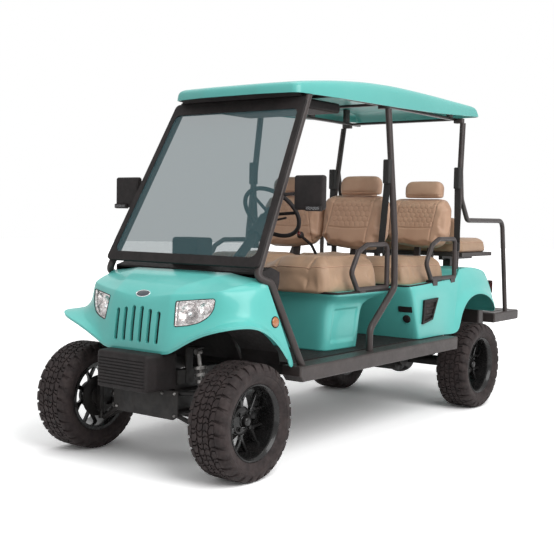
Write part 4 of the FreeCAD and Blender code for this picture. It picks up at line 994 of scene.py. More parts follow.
def filled(name, outline, place, rings):
    """Surface over an outline, ring by ring from its centre; place turns (a, b, share) into a point."""
    centre = sum(outline, Vector((0, 0))) / len(outline)
    verts = [place(centre.x, centre.y, 0.0)]
    for r in range(1, rings + 1):
        share = r / rings
        verts += [place(*centre.lerp(p, share), share) for p in outline]
    count = len(outline)
    faces = [(0, 1 + i, 1 + (i + 1) % count) for i in range(count)]
    for r in range(rings - 1):
        a, b = 1 + r * count, 1 + (r + 1) * count
        faces += [(a + i, b + i, b + (i + 1) % count, a + (i + 1) % count) for i in range(count)]
    return mesh_object(name, verts, faces)


# Headlight in the plane of its slanted face, in metres across and up from its inner upper corner
LAMP_OUTLINE = [(-0.009, -0.129, 0.011), (0.067, -0.1255, 0.150), (0.124, -0.115, 0.120),
                (0.168, -0.090, 0.100), (0.199, -0.055, 0.090), (0.2095, 0.002, 0.012), (0.0, 0.0, 0.010)]
# Bowls of the reflector: middle, radius and depth
BOWLS = [((0.066, -0.064), 0.054, 0.030), ((0.150, -0.045), 0.034, 0.018)]


def ellipse(x, y, across, up, count):
    turns = [2 * math.pi * k / count for k in range(count)]
    return [Vector((x + across * math.cos(turn), y + up * math.sin(turn))) for turn in turns]


BEZEL_DEPTH = 0.014


def lamp_depth(a, b):
    """Depth of the reflector behind the lens: a flat bezel with two bowls."""
    deepest = BEZEL_DEPTH
    for (x, y), radius, depth in BOWLS:
        share = math.hypot(a - x, b - y) / radius
        if share < 1:
            deepest = max(deepest, BEZEL_DEPTH + depth * (1 - share ** 2))
    return deepest


def make_headlight(face):
    """Lens, tray with bare (0), smoked (1) and amber (2) metal, bulb cap, seal and the opening's outline."""
    outline = closed_path(rounded_outline(LAMP_OUTLINE, 5), 0.006)
    lens = filled("lens", inset_outline(outline, 0.0022),
                  lambda a, b, s: face.on_skin(a, b, 0.0005 + 0.004 * (1 - s ** 2)), 8)
    tray = filled("reflector", inset_outline(outline, 0.0005),
                  lambda a, b, s: face.on_skin(a, b, -lamp_depth(a, b) if s < 0.999 else -0.0045), 22)
    (main_x, main_y), (side_x, side_y) = [middle for middle, _, _ in BOWLS]
    for polygon in tray.data.polygons:
        place = polygon.center - face.origin
        a, b = place.dot(face.right), place.dot(face.up)
        if 0.020 < math.hypot(a - main_x, b - main_y) < 0.040 or math.hypot(a - side_x, b - side_y) < 0.014:
            polygon.material_index = 1
        if a > 0.172 + 0.010 * math.sin(b * 90):
            polygon.material_index = 2
    bulb = filled("bulb_cap", ellipse(main_x, main_y, 0.017, 0.017, 24),
                  lambda a, b, s: face.on_skin(a, b, -0.012 - 0.016 * s ** 2), 5)
    seam = [face.on_skin(*p, 0.0004) for p in inset_outline(outline, 0.0006)]
    seal = tube_mesh("lamp_seal", seam, 0.0021, 8, closed=True)
    return lens, tray, bulb, seal, outline


# Each slot's distance from the nose's middle and its top in millimetres, then the slots' size in metres
SLOT_PLACES = [(28, 833), (85, 822), (142, 813)]
SLOT_HALF = 0.0128
SLOT_LOW = 0.651


def slot_outline(top):
    points = [Vector((0.004 - SLOT_HALF, SLOT_LOW)), Vector((SLOT_HALF - 0.004, SLOT_LOW)),
              Vector((SLOT_HALF, SLOT_LOW + 0.006))]
    for k in range(9):
        turn = math.pi * k / 8
        points.append(Vector((SLOT_HALF * math.cos(turn), top - SLOT_HALF + SLOT_HALF * math.sin(turn))))
    return points + [Vector((-SLOT_HALF, SLOT_LOW + 0.006))]


def add_slots(nose):
    """Sleeves inside the nose's slots, with a dark sheet behind them as painted shade; gives the cutters of
    the slots.
    """
    cutters = []
    sleeves = []
    for side in (1, -1):
        for across, top in SLOT_PLACES:
            shape = [p + Vector((side * across / 1000, 0)) for p in slot_outline(top / 1000)]
            cutters.append(outline_cutter("slot_cut", shape, nose))
            verts = [nose.on_skin(*p, lift) for lift in (-0.0045, -0.017) for p in shape]
            faces = [face[::-1] for face in ring_faces(2, len(shape))]
            sleeves.append(mesh_object("sleeve", verts, faces, smooth=False))
    dress(join(sleeves, "slot_sleeves"), PAINT, "chassis", "body_paint")
    # A black sheet just behind the skin stands in for the shade inside the nose: painted shade.
    corners = [Vector(p) for p in ((-0.17, 0.636), (0.17, 0.636), (0.17, 0.845), (-0.17, 0.845))]
    painted_shade_sheet = filled("nose_painted_shade_sheet", closed_path(corners, 0.03),
                     lambda a, b, s: nose.on_skin(a, b, -0.0175), 8)
    dress(painted_shade_sheet, PLASTIC, "chassis", "trim_black")
    return cutters


def add_oval_plate(brow):
    """Bare oval plate in a bright rim above the slots."""
    oval = ellipse(0, 0, 0.046, 0.022, 48)
    plate = filled("oval_plate", oval, lambda a, b, s: brow.on_skin(a, b, 0.0018 + 0.0030 * (1 - s ** 2)), 6)
    rim = tube_mesh("oval_rim", [brow.on_skin(*p, 0.0014) for p in oval], 0.0020, 8, closed=True)
    dress(plate, ENAMEL, "chassis", "trim_black")
    dress(rim, CHROME, "chassis", "lamp_clear")


def add_cowl():
    cowl = make_cowl()
    skin = skin_of(cowl)
    inner = from_mid(1410, 233, 870)
    outer = from_mid(1331, 429, 888)
    below = from_mid(1432, 243, 744)
    lamp_face = Face(skin, inner, outer - inner, inner - below)
    lens, tray, bulb, seal, outline = make_headlight(lamp_face)
    cutters = [outline_cutter("lamp_cut", outline, lamp_face) for _ in range(2)]
    placed(cutters[1], MIRROR_Y)
    across = Vector((0, 1, 0))
    cutters += add_slots(Face(skin, from_mid(1440, 0, 0), across, Vector((0, 0, 1))))
    add_oval_plate(Face(skin, from_mid(1400, 0, 894), across, Vector((-0.66, 0, 0.75))))
    subtract(cowl, join(cutters, "cutters"))
    tidy_shading(cowl, 38)
    dress(cowl, [PAINT, PLASTIC], "chassis", "body_paint")
    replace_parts(cowl, "front_cowl")
    for piece, material, slot in ((lens, CLEAR, "lamp_clear"), (bulb, CHROME, "lamp_clear"),
                                  (tray, [REFLECTOR, SMOKED, AMBER_METAL], "lamp_clear"),
                                  (seal, PLASTIC, "trim_black")):
        dress(both_sides(piece), material, "chassis", slot)
    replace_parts(lens, "headlights")
    add_marker_lamps(skin)


def add_marker_lamps(skin):
    hit, normal, _, _ = skin.ray_cast(from_mid(1057, 700, 766), Vector((0, -1, 0)))
    turn = Vector((0, 1, 0)).rotation_difference(normal).to_matrix().to_4x4()
    spot = Matrix.Translation(hit - normal * 0.001) @ turn
    lens = ring_of("marker_lens", [(0.0258, 0.0), (0.0258, 0.0040), (0.0240, 0.0068), (0.0200, 0.0086),
                                   (0.0130, 0.0100), (0.0060, 0.0106), (0.0, 0.0108)], 40)
    rim = ring_of("marker_rim", [(0.0300, -0.003), (0.0300, 0.0030), (0.0288, 0.0046), (0.0266, 0.0046),
                                 (0.0258, 0.0030)], 40)
    for piece, material, slot in ((lens, AMBER, "lamp_amber"), (rim, PLASTIC, "trim_black")):
        placed(piece, spot)
        dress(both_sides(piece), material, "chassis", slot)
    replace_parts(lens, "marker_lamps")


add_cowl()


def sew(pad, seams, depth, width, gap, *sizes):
    """Presses the seams into a pad and gives the stitches along both their sides."""
    press_seams(pad, seams, depth, width)
    rows = [beside(path, side) for path in seams for side in (gap, -gap)]
    return stitches(pad, pad.name + "_thread", rows, *sizes)


# Seat backs and headrests: outlines of (x, y, radius) corners and seams in the plane of the left one
SEAT_LEVEL = 0.8655
BACK_LOW = 1.094
BACK_HIGH = 1.440
BACK_DEPTH = 0.088
BACK_OUTLINE = [(0.245, 0.004, 0.030), (0.420, 0.006, 0.075), (0.474, 0.090, 0.060), (0.472, 0.275, 0.070),
                (0.430, 0.338, 0.050), (0.360, 0.343, 0.030), (0.004, 0.343, 0.070), (0.004, 0.085, 0.020),
                (0.060, 0.025, 0.080)]
BACK_SEAMS = [[(0.105, 0.336), (0.096, 0.270), (0.080, 0.195), (0.062, 0.115), (0.058, 0.050)],
              [(0.392, 0.336), (0.388, 0.270), (0.374, 0.195), (0.358, 0.115), (0.352, 0.030)],
              [(0.072, 0.145), (0.180, 0.140), (0.280, 0.140), (0.362, 0.145)]]


def standing(x_low, x_high, z_low, z_high, depth, side):
    """Matrix that stands a pad up as a seat back: its x across, its y up the leaning face."""
    lean = (x_high - x_low) / (z_high - z_low)
    return Matrix(((0, lean, 1, x_low - depth + SHIFT.x), (side, 0, 0, 0), (0, 1, 0, z_low), (0, 0, 0, 1)))


def make_back():
    back = pad_form("back", rounded_outline(BACK_OUTLINE), BACK_DEPTH - 0.010, 0.016, 0.030)
    fill_pad(back, 0.0078, 0.011)
    quilt(back, (0.104, 0.150), (0.376, 0.325), 0.036, 0.0035)
    return back, sew(back, BACK_SEAMS, 0.0050, 0.0045, 0.0065)


HEAD_OUTLINE = [(0.124, 0.001, 0.014), (0.406, 0.001, 0.014), (0.410, 0.116, 0.052), (0.120, 0.116, 0.052)]
HEAD_HEM = [[(0.130, 0.020), (0.200, 0.0165), (0.330, 0.0165), (0.400, 0.020)]]


def make_headrest():
    rest = pad_form("headrest", rounded_outline(HEAD_OUTLINE), 0.072, 0.026, 0.030)
    fill_pad(rest, 0.0066, 0.008)
    return rest, sew(rest, HEAD_HEM, 0.0040, 0.0040, 0.005)


BENCH_HALF = 0.486


def dish(places, length):
    """Seat form: a valley in the middle, a hollow on each side, lowered ends and a lowered front."""
    along = places[:, 0] / length
    across = np.abs(places[:, 1]) / BENCH_HALF
    level = places[:, 2]
    share = np.clip(level / level.max(), 0, 1) ** 2
    saddle = np.exp(-(across / 0.17) ** 2) * 0.052
    hollow = np.exp(-((across - 0.52) / 0.30) ** 2) * 0.014 * np.exp(-((along - 0.45) / 0.3) ** 2)
    shoulder = np.clip(across - 0.80, 0, 1) / 0.20 * 0.020
    nose = np.clip(along - 0.78, 0, 1) / 0.22 * 0.018
    moved = places.copy()
    moved[:, 2] -= (saddle + hollow + shoulder ** 1.5 + nose) * share
    return moved


def make_bench(name, length, height):
    """Bench cushion with its length along x from rear to front."""
    corners = [(0.006, BENCH_HALF, 0.060), (length - 0.03, BENCH_HALF, 0.085), (length, 0.24, 0.300)]
    outline = rounded_outline([(x, -y, radius) for x, y, radius in corners]
                              + [(length - 0.030, 0, 0.200)] + corners[::-1])
    bench = pad_form(name, outline, height - 0.014, 0.020, 0.062)
    fill_pad(bench, 0.0126, 0.022)
    set_vertices(bench, dish(array_of(bench), length))
    seams = []
    for side in (1, -1):
        for seam in ([(0.060, 0.075), (0.300, 0.085), (length - 0.16, 0.105), (length - 0.015, 0.135)],
                     [(0.060, 0.400), (0.300, 0.395), (length - 0.16, 0.380), (length - 0.015, 0.350)],
                     [(length - 0.200, 0.105), (length - 0.190, 0.24), (length - 0.200, 0.380)]):
            seams.append([(x, side * y) for x, y in seam])
    thread = sew(bench, seams, 0.0065, 0.0075, 0.009, 0.006, 0.004, 0.0007)
    return bench, thread, piping(bench, inset_outline(outline, 0.030), 0.0034)


def lay(pad, sewn, materials, place, body, fill):
    """Puts a pad and what is sewn to it in place; the pad carries the rest."""
    for piece, material in zip((pad, *sewn), materials):
        dress(placed(piece, place), material, body, "seat_tan")
    for piece in sewn:
        piece.parent = pad


def add_seats():
    back, back_thread = make_back()
    rest, rest_thread = make_headrest()
    for row, (low, high) in (("front", (-0.150, -0.195)), ("second", (-0.985, -1.025))):
        for side, name in ((1, "left"), (-1, "right")):
            leaning = standing(low, high, BACK_LOW, BACK_HIGH, BACK_DEPTH, side)
            upper = standing(high - 0.012, high - 0.020, BACK_HIGH + 0.0005, 1.552, 0.076, side)
            for kind, pad, thread, place, fill, node in (
                    ("back", back, back_thread, leaning, 0.8, "seat_backs"),
                    ("headrest", rest, rest_thread, upper, 0.85, "headrests")):
                label = kind + "_" + row + "_" + name
                whole = copy_of(pad, label)
                lay(whole, [copy_of(thread, label + "_thread")], (TAN, THREAD), place, "chassis", fill)
                if row == "front" and side == 1:
                    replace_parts(whole, node)
    for piece in (back, back_thread, rest, rest_thread):
        bpy.data.objects.remove(piece)
    for name, x, length, height in (("cushion_front", -0.140, 0.620, 0.205),
                                    ("cushion_second", -1.015, 0.570, 0.180)):
        bench, *sewn = make_bench(name, length, height)
        place = Matrix.Translation((x + SHIFT.x, 0, SEAT_LEVEL))
        lay(bench, sewn, (TAN_LIGHT, THREAD, TAN), place, "chassis", 0.8)
        if name == "cushion_front":
            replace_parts(bench, "seat_cushions")


def add_rear_seat():
    """Rear-facing back and the flip seat's cushion."""
    outline = rounded_outline([(-0.416, 0.003, 0.040), (0.416, 0.003, 0.040), (0.412, 0.192, 0.060),
                               (-0.412, 0.192, 0.060)])
    back = pad_form("back_rear", outline, 0.072, 0.014, 0.028)
    fill_pad(back, 0.0108, 0.009)
    seams = [[(x, 0.015), (x, 0.182)] for x in (-0.30, 0.0, 0.30)]
    thread = sew(back, seams, 0.005, 0.006, 0.008)
    place = Matrix(((0, 0, -1, -1.2905 + SHIFT.x), (-1, 0, 0, 0), (0, 1, 0, 1.1205), (0, 0, 0, 1)))
    lay(back, [thread], (TAN, THREAD), place, "chassis", 0.8)
    outline = rounded_outline([(0.004, -0.406, 0.045), (0.434, -0.406, 0.045), (0.434, 0.406, 0.045),
                               (0.004, 0.406, 0.045)])
    pad = pad_form("cushion_flip", outline, 0.094, 0.014, 0.036)
    fill_pad(pad, 0.012, 0.010)
    seams = [[(0.04, y), (0.40, y)] for y in (-0.27, 0.0, 0.27)]
    thread = sew(pad, seams, 0.006, 0.007, 0.009)
    cord = piping(pad, inset_outline(outline, 0.016), 0.0030)
    place = Matrix.Translation((-1.8225 + SHIFT.x, 0, 1.0606))
    lay(pad, [thread, cord], (TAN_LIGHT, THREAD, TAN), place, "flip_seat", 0.8)
    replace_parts(pad, "flip_cushion")


add_seats()
add_rear_seat()


def caged(name, verts, faces, creases):
    """Mirrored subdivision surface; creases is {(vertex, vertex): weight}."""
    obj = mesh_object(name, [from_mid(*p) for p in verts], faces)
    crease_edges(obj, lambda a, b: creases.get((min(a.index, b.index), max(a.index, b.index)), 0.0))
    modifier(obj, "MIRROR", use_axis=(False, True, False), use_clip=True, merge_threshold=0.0005)
    modifier(obj, "SUBSURF", levels=3, render_levels=3)
    return finished(obj)


SKIN_THICKNESS = 0.004


def thicken(obj):
    """Skin whose inner face is in the second material slot."""
    modifier(obj, "SOLIDIFY", thickness=SKIN_THICKNESS, offset=-1, material_offset=1)
    return finished(obj)


def row_creases(start, count, weight):
    return {(start + i, start + i + 1): weight for i in range(count - 1)}


def soft_box(value, low, high):
    """1 inside a range, fading to 0 at both ends."""
    rise = np.clip((value - low) / PANEL_FADE + 0.5, 0, 1)
    fall = np.clip((high - value) / PANEL_FADE + 0.5, 0, 1)
    return rise * rise * (3 - 2 * rise) * fall * fall * (3 - 2 * fall)


# Front seat box in millimetres: for each level its front, half width and rear. A row runs from the middle
# of the front face round to the middle of the rear.
POD_LEVELS = [(535.3, 394, 444, 58), (600, 396, 451, 58), (690, 400, 460, 58), (760, 404, 468, 57),
              (800, 407, 480, 46), (826, 410, 500, -20), (843, 418, 526, -100), (856, 428, 541, -148),
              (874, 428, 541, -160)]

POD_OPENING = [(385, 0), (385, 240), (360, 430), (100, 470), (-100, 470), (-120, 240), (-120, 0)]
POD_SLANT = 12
PANEL_DEPTH = 0.006
PANEL_FADE = 0.012


def pod_row(level, front, half, rear):
    middle = (front + rear) / 2
    return [(front, 0, level), (front, 0.5 * half, level), (front - 1, 0.80 * half, level),
            (front - 6, 0.93 * half, level), (front - 30, half - 5, level), (front - 70, half, level),
            (middle + 50, half + POD_SLANT * 0.4, level), (middle - 50, half + POD_SLANT * 0.7, level),
            (rear + 45, half + POD_SLANT, level), (rear + 8, half + POD_SLANT - 2, level),
            (rear, half - 12, level), (rear, 0.5 * half, level), (rear, 0, level)]


def make_pod():
    verts = []
    for values in POD_LEVELS:
        verts += pod_row(*values)
    columns = len(pod_row(*POD_LEVELS[0]))
    faces = grid_faces(len(POD_LEVELS), columns)
    start = len(verts)
    level = POD_LEVELS[-1][0]
    top = start - columns
    verts += [(x, y, level) for x, y in POD_OPENING]
    a, b, c, d, e, f, g = range(start, start + 7)
    faces += [(top, top + 1, b, a), (top + 1, top + 2, top + 3, b), (top + 3, top + 4, c, b),
              (top + 4, top + 5, top + 6, c), (top + 6, top + 7, d, c), (top + 7, top + 8, e, d),
              (top + 8, top + 9, top + 10, e), (top + 10, top + 11, f, e), (top + 11, top + 12, g, f),
              (a, b, f, g), (b, c, d, e, f)]
    pod = caged("pod", verts, faces, {**row_creases(0, columns, 1.0), **row_creases(top, columns, 0.55)})
    places = array_of(pod)
    panel = soft_box(places[:, 0] - SHIFT.x, 0.112, 0.338) * soft_box(places[:, 2], 0.585, 0.772)
    panel *= np.abs(places[:, 1]) > 0.42
    places[:, 1] -= np.sign(places[:, 1]) * panel * PANEL_DEPTH
    set_vertices(pod, places)
    return thicken(pod)


# Rear body: columns from the middle of the front face round to the middle of the rear face. Each is
# (top edge, foot of the wall or rim of the wheel opening, share by which the foot is a flared rim).
DECK_EDGE = [(-418, 0, 872), (-418, 440, 872), (-419, 516, 872), (-432, 536, 873), (-600, 538, 880),
             (-750, 538, 889), (-880, 538, 897), (-980, 538, 903), (-1042, 537, 909), (-1072, 534, 928),
             (-1098, 530, 960), (-1200, 528, 968), (-1300, 526, 966), (-1400, 522, 956), (-1490, 516, 941),
             (-1560, 508, 918), (-1604, 496, 890), (-1622, 470, 880), (-1628, 440, 878), (-1630, 0, 878)]
FOOT = [(-505, 0, 535.3), (-505, 440, 535.3), (-506, 535, 535.3), (-520, 556, 535.3), (-640, 558, 535.3),
        (-770, 558, 535.3), (-890, 559, 535.3), (-984, 600, 535.3), (-1004, 602, 620), (-1043, 603, 698),
        (-1112, 604, 755), (-1200, 605, 783), (-1290, 606, 788), (-1382, 606, 776), (-1466, 605, 746),
        (-1530, 602, 704), (-1576, 594, 652), (-1612, 556, 640), (-1632, 440, 640), (-1634, 0, 640)]
FLARE = [0, 0, 0, 0, 0, 0, 0, 0.6, 1, 1, 1, 1, 1, 1, 1, 1, 1, 0.35, 0, 0]
ARCH_CENTRE = (-1285, 520)


def rear_columns():
    columns = []
    for top, foot, flare in zip(DECK_EDGE, FOOT, FLARE):
        out = Vector((foot[0] - ARCH_CENTRE[0], foot[2] - ARCH_CENTRE[1])).normalized()
        lip, root = [(foot[0] + out.x * reach, foot[1] - inset, foot[2] + out.y * reach)
                     for reach, inset in ((16 * flare, 3 * flare), (52 * flare, 30 * flare))]
        x, y, z = top
        drop = (x, y + 16, z - 24) if y > 460 else (x + (4 if x > -1000 else -6), y, z - 24)
        if flare < 0.3:
            wall = [tuple(a + (b - a) * share for a, b in zip(drop, foot)) for share in (0.33, 0.66, 0.93)]
        else:
            wall = [tuple((drop[k] + root[k]) * 0.5 + (6 if k == 1 else 0) for k in range(3)), root, lip]
        columns.append([top, drop, *wall, foot])
    return columns


def make_rear_body():
    columns = rear_columns()
    rows = len(columns[0])
    count = len(columns)
    verts = [column[r] for r in range(rows) for column in columns]
    faces = grid_faces(rows, count)
    start = len(verts)
    sides = list(range(4, 17))
    for c in sides:
        x, _, z = DECK_EDGE[c]
        verts += [(x, 440, z + 2), (x, 0, z + 2)]
    edge = {c: start + 2 * i for i, c in enumerate(sides)}
    faces += [(0, 1, edge[4], edge[4] + 1), (1, 2, 3, 4, edge[4])]
    for c in sides[:-1]:
        faces += [(c, c + 1, edge[c + 1], edge[c]), (edge[c], edge[c + 1], edge[c + 1] + 1, edge[c] + 1)]
    faces += [(16, 17, 18, edge[16]), (18, 19, edge[16] + 1, edge[16])]
    creases = {**row_creases(0, count, 0.45), **row_creases((rows - 1) * count, count, 0.75)}
    creases.update({(r * count + 3, (r + 1) * count + 3): 0.35 for r in range(rows - 1)})
    return thicken(caged("rear_body_shown", verts, faces, creases))


POD = dress(make_pod(), [PAINT, PLASTIC], "chassis", "body_paint")
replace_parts(POD, "seat_pod")
REAR_BODY = dress(make_rear_body(), [PAINT, PLASTIC], "chassis", "body_paint")
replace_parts(REAR_BODY, "rear_body")

# Roof: plan outline as (x, y, radius) corners in millimetres from midway between the axles
ROOF_PLAN = [(700, -443, 55), (738, -200, 300), (738, 200, 300), (700, 443, 55), (350, 491, 900),
             (50, 505, 900), (-1432, 505, 45), (-1432, -505, 45), (50, -505, 900), (350, -491, 900)]
ROOF_ENDS = (-930, 240)
REAR_SLANT_FROM = -1340
REAR_SLANT_RUN = 90
REAR_SLANT = 0.8


def rim_level(x):
    return 1962 + 60 * max(0.0, (738 - x) / 2170) ** 2.4


def roof_level(x, y):
    """Height of the roof's crown in millimetres over a point of the plan."""
    run = x + 450
    return 2105 - run ** 2 / (15600 if run > 0 else 48000) + 4 * (1 - (y / 505) ** 2)


# Rings from the rim inwards: distance from the outline, share of the rise to the crown, drop of the groove
ROOF_RINGS = [(0.0, 0.0, 0), (1.5, 0.28, 0), (5.0, 0.58, 0), (12.0, 0.79, 0), (25.0, 0.92, 0),
              (44.0, 0.985, 0), (57.0, 1.0, 0), (64.0, 1.0, 5), (76.0, 1.0, 5), (84.0, 1.0, 0)]


def make_roof():
    """Crowned shell with a tall rolled side, a slanted rear face and a groove along its edge."""
    outline = closed_path(rounded_outline(ROOF_PLAN, 6), 60)
    count = len(outline)
    middles = [Vector((min(max(p.x, ROOF_ENDS[0]), ROOF_ENDS[1]), 0)) for p in outline]
    verts = []
    for inset, share, drop in ROOF_RINGS:
        for p, middle in zip(outline, middles):
            q = p + (middle - p).normalized() * inset
            rise = (roof_level(q.x, q.y) - rim_level(p.x)) * share
            slant = min(max((REAR_SLANT_FROM - p.x) / REAR_SLANT_RUN, 0), 1) * REAR_SLANT
            verts.append((q.x + slant * rise, q.y, rim_level(p.x) + rise - drop))
    edge = verts[-count:]
    for fifth in range(1, 6):
        for (x, y, _), middle in zip(edge, middles):
            q = Vector((x, y)).lerp(middle, fifth / 5)
            verts.append((q.x, q.y, roof_level(q.x, q.y)))
    roof = mesh_object("roof", [from_mid(*v) for v in verts], ring_faces(len(verts) // count, count))
    with editing(roof) as mesh:
        bmesh.ops.remove_doubles(mesh, verts=mesh.verts, dist=0.0002)
    modifier(roof, "SUBSURF", levels=1, render_levels=1)
    modifier(roof, "SOLIDIFY", thickness=0.007, offset=-1)
    return tidy_shading(finished(roof), 50)


ROOF = dress(make_roof(), SHADED_ROOF_PAINT, "chassis", "body_paint")
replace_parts(ROOF, "roof_shell")


def prism(name, outline, low, high, axis, bevel):
    """Bevelled solid over an outline of two coordinates between two levels on the third axis, all in mm."""
    verts = []
    for level in (low, high):
        for p in outline:
            values = [p[0], p[1]]
            values.insert(axis, level)
            verts.append(from_mid(*values))
    count = len(outline)
    faces = [tuple(range(count)), tuple(range(2 * count - 1, count - 1, -1))]
    faces += [face[::-1] for face in ring_faces(2, count)]
    obj = face_outwards(mesh_object(name, verts, faces))
    modifier(obj, "BEVEL", width=bevel, segments=2, limit_method="ANGLE", angle_limit=0.7)
    return tidy_shading(finished(obj), 30)


def bar(x0, x1, y0, y1, z0, z1):
    return prism("bar", [(x0, y0), (x1, y0), (x1, y1), (x0, y1)], z0, z1, 2, 0.003)


def both(x0, x1, y0, y1, z0, z1):
    return [bar(x0, x1, y0, y1, z0, z1), bar(x0, x1, -y1, -y0, z0, z1)]


def make_roof_frame():
    """Rails and cross bars tucked up under the roof, heads on the pillars and pads up to the skin."""
    pieces = both(-1300, 660, 404, 432, 1977, 1995)
    for x in (560, 300, -200, -1214):
        pieces.append(bar(x, x + 34, -406, 406, 1978, 1994))
    for x, reach in ((592, 446), (-182, 486), (-1195, 486)):
        pieces += both(x - 22, x + 22, 424, reach, 1957.4, 1990)
    for x in (500, -100, -700, -1150):
        pieces += both(x, x + 55, 405, 431, 1993, roof_level(x, 430) - 9)
    return join(pieces, "roof_frame_shown")


def make_header():
    """Dark closing panel between the windshield's head and the roof's front."""
    side = [(680, 1972), (655, 1948), (628, 1946), (664, 1882), (612, 1882), (560, 1940), (560, 1976),
            (680, 1980)]
    return prism("header", side, -420, 420, 1, 0.004)


# Bumper's plan as (x, y, radius) corners in millimetres
BUMPER_PLAN = [(1352.5, -191, 4), (1490, -187, 40), (1557, -170, 24), (1557, 170, 24), (1490, 187, 40),
               (1352.5, 191, 4)]


def make_bumper():
    """Moulded block with fine grooves across its face, round upright corners and a lipped top."""
    outline = closed_path(rounded_outline(BUMPER_PLAN, 6), 12)
    rows = [(418, 9), (421, 3), (427, 0), (438, 0)]
    for base in range(438, 582, 16):
        rows += [(base + 1.5, -1), (base + 3.0, -5), (base + 6.5, -5), (base + 8.0, -1), (base + 16, 0)]
    rows += [(588, 0), (598, 3), (604, 9), (606, 16)]
    verts = []
    for z, inset in rows:
        for p, q in zip(outline, inset_outline(outline, 1.0)):
            face = min(max((p.x - 1540) / 12, 0), 1) * min(max((166 - abs(p.y)) / 8, 0), 1)
            step = -inset * face if inset < 0 else inset
            verts.append(from_mid(*p.lerp(q, step), z))
    count = len(outline)
    faces = ring_faces(len(rows), count) + [tuple(range(len(verts) - count, len(verts)))]
    bumper = mesh_object("bumper", verts, faces)
    modifier(bumper, "SOLIDIFY", thickness=0.006, offset=-1)
    return tidy_shading(finished(bumper), 32)


def facing(obj, place, direction):
    """The ring, moved to a place with its axis along a direction."""
    turn = direction.to_track_quat("X", "Z").to_matrix().to_4x4()
    obj.matrix_world = Matrix.Translation(place) @ turn @ Matrix.Rotation(-math.pi / 2, 4, "Z")
    return obj


# Bolt's profile as shares of its size, and the bolts' places across and up in millimetres
BOLT_SIZE = 0.0085
BOLT = [(1.0, 0.0), (1.0, 0.15), (0.72, 0.3), (0.70, 0.62), (0.5, 0.78), (0.0, 0.82)]
BOLT_PLACES = [(205, 398), (205, 285), (120, 392), (-205, 398), (-205, 285), (-120, 392)]


def add_front_plate():
    """Plate across the lower arms' front with its domed flange bolts."""
    outline = [(-228, 412), (-228, 282), (-196, 262), (196, 262), (228, 282), (228, 412)]
    dress(prism("subframe_plate", outline, 1373.4, 1380, 0, 0.0015), CHASSIS, "chassis", "chassis_black")
    bolts = []
    for y, z in BOLT_PLACES:
        bolt = ring_of("bolt", [(r * BOLT_SIZE, w * BOLT_SIZE) for r, w in BOLT], 12)
        bolts.append(facing(bolt, from_mid(1380, y, z), Vector((1, 0, 0))))
    dress(join(bolts, "subframe_bolts"), STEEL, "chassis", "steel")


EDGING_RADIUS = 0.0068


def add_edging(name, half, closed):
    """Rubber bead along half a deck's edge, given in millimetres, and its mirror image."""
    mirrored = [(x, -y, z) for x, y, z in half[::-1]]
    path = half + [p for p in mirrored if p[1] < -1] if closed else mirrored + [p for p in half if p[1] > 1]
    for _ in range(2):
        pairs = zip(path, path[1:] + path[:1]) if closed else zip(path, path[1:])
        path = [tuple(u + (v - u) * share for u, v in zip(a, b)) for a, b in pairs for share in (0.25, 0.75)]
    bead = tube_mesh(name, [from_mid(*p) for p in path], EDGING_RADIUS, 10, closed=closed)
    dress(bead, PLASTIC, "chassis", "trim_black")


VENT_CORNERS = [(-561, 771), (-722, 777), (-663, 662), (-543, 641)]


def add_vent_shades():
    """Dark block behind each side vent's louvres: painted shade of the hollow behind them."""
    for name, near, far in (("vent_back_left", 552, 561), ("vent_back_right", -561, -552)):
        dress(prism(name, VENT_CORNERS, near, far, 1, 0.001), RUBBER, "chassis", "trim_black")


SOCKET = [(0.0262, -0.004), (0.0262, 0.004), (0.0245, 0.0065), (0.0215, 0.0065), (0.0205, 0.0045),
          (0.0195, 0.0075), (0.0180, 0.0085), (0.0, 0.0092)]
PLATE_SIZE = (0.094, 0.037)


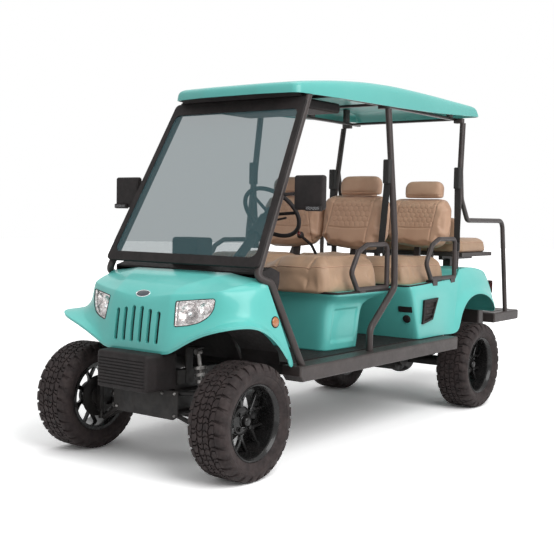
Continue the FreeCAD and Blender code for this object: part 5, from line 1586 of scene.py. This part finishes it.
def add_charge_port(skin):
    """Round socket with a cap and a bare plate above it, seated on the rear body's front face."""
    def seat(y, z):
        return skin.ray_cast(from_mid(-300, y, z), Vector((-1, 0, 0)))[:2]
    place, normal = seat(493, 663)
    socket = facing(tidy_shading(ring_of("charge_port", SOCKET, 40), 30), place, normal)
    near, right, above = [seat(y, z)[0] for y, z in ((442, 706), (536, 706), (442, 743))]
    wide, high = PLATE_SIZE
    outline = rounded_outline([(0, 0, 0.004), (wide, 0, 0.004), (wide, high, 0.004), (0, high, 0.004)], 3)
    verts = []
    for lift, inset in ((-0.002, 0.0), (0.0035, 0.0), (0.0045, 0.001)):
        for p in inset_outline(outline, inset):
            base = near + (right - near) * (p.x / wide) + (above - near) * (p.y / high)
            verts.append(base + normal * lift)
    count = len(outline)
    plate = mesh_object("charge_plate", verts, ring_faces(3, count) + [tuple(range(2 * count, 3 * count))])
    whole = join([socket, tidy_shading(plate, 30)], "charge_port_shown")
    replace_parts(dress(whole, PLASTIC, "chassis", "trim_black"), "charge_port")


def add_mirror_lamps():
    """Pale lamp strip under each mirror's face, in a dark lipped holder."""
    for name, near, far in (("left", 640, 738), ("right", -738, -640)):
        holder = prism("mirror_lamp_holder_" + name, [(878, 1326), (896, 1330), (896, 1352), (878, 1356)],
                       near, far, 1, 0.002)
        dress(holder, PLASTIC, "chassis", "trim_black")
        strip = prism("mirror_lamp_" + name, [(894, 1333), (899, 1334), (899, 1348), (894, 1349)],
                      near + 8, far - 8, 1, 0.0015)
        dress(strip, CLEAR, "chassis", "lamp_clear")


BUTTON = [(0.0135, -0.006), (0.0135, 0.010), (0.0120, 0.0135), (0.0080, 0.0150), (0.0, 0.0155)]


def add_lever_button():
    """Release button on the end of the brake lever's grip."""
    cap = tidy_shading(ring_of("lever_button", BUTTON, 32), 35)
    dress(facing(cap, from_mid(41, 0, 1193), Vector((0.90, 0, 0.44))), RED, "chassis", "lamp_red")


add_mirror_lamps()
add_lever_button()
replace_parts(dress(make_roof_frame(), STEEL_COAT, "chassis", "steel_black"), "roof_frame")
dress(make_header(), PLASTIC, "chassis", "trim_black")
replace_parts(dress(make_bumper(), PLASTIC, "chassis", "trim_black"), "front_bumper")
add_front_plate()
add_edging("pod_edging", pod_row(871, 428, 541, -160), True)
add_edging("rear_deck_edging", [p for p in DECK_EDGE if p[0] > -960], False)
add_vent_shades()
add_charge_port(BVHTree.FromObject(REAR_BODY, bpy.context.evaluated_depsgraph_get()))
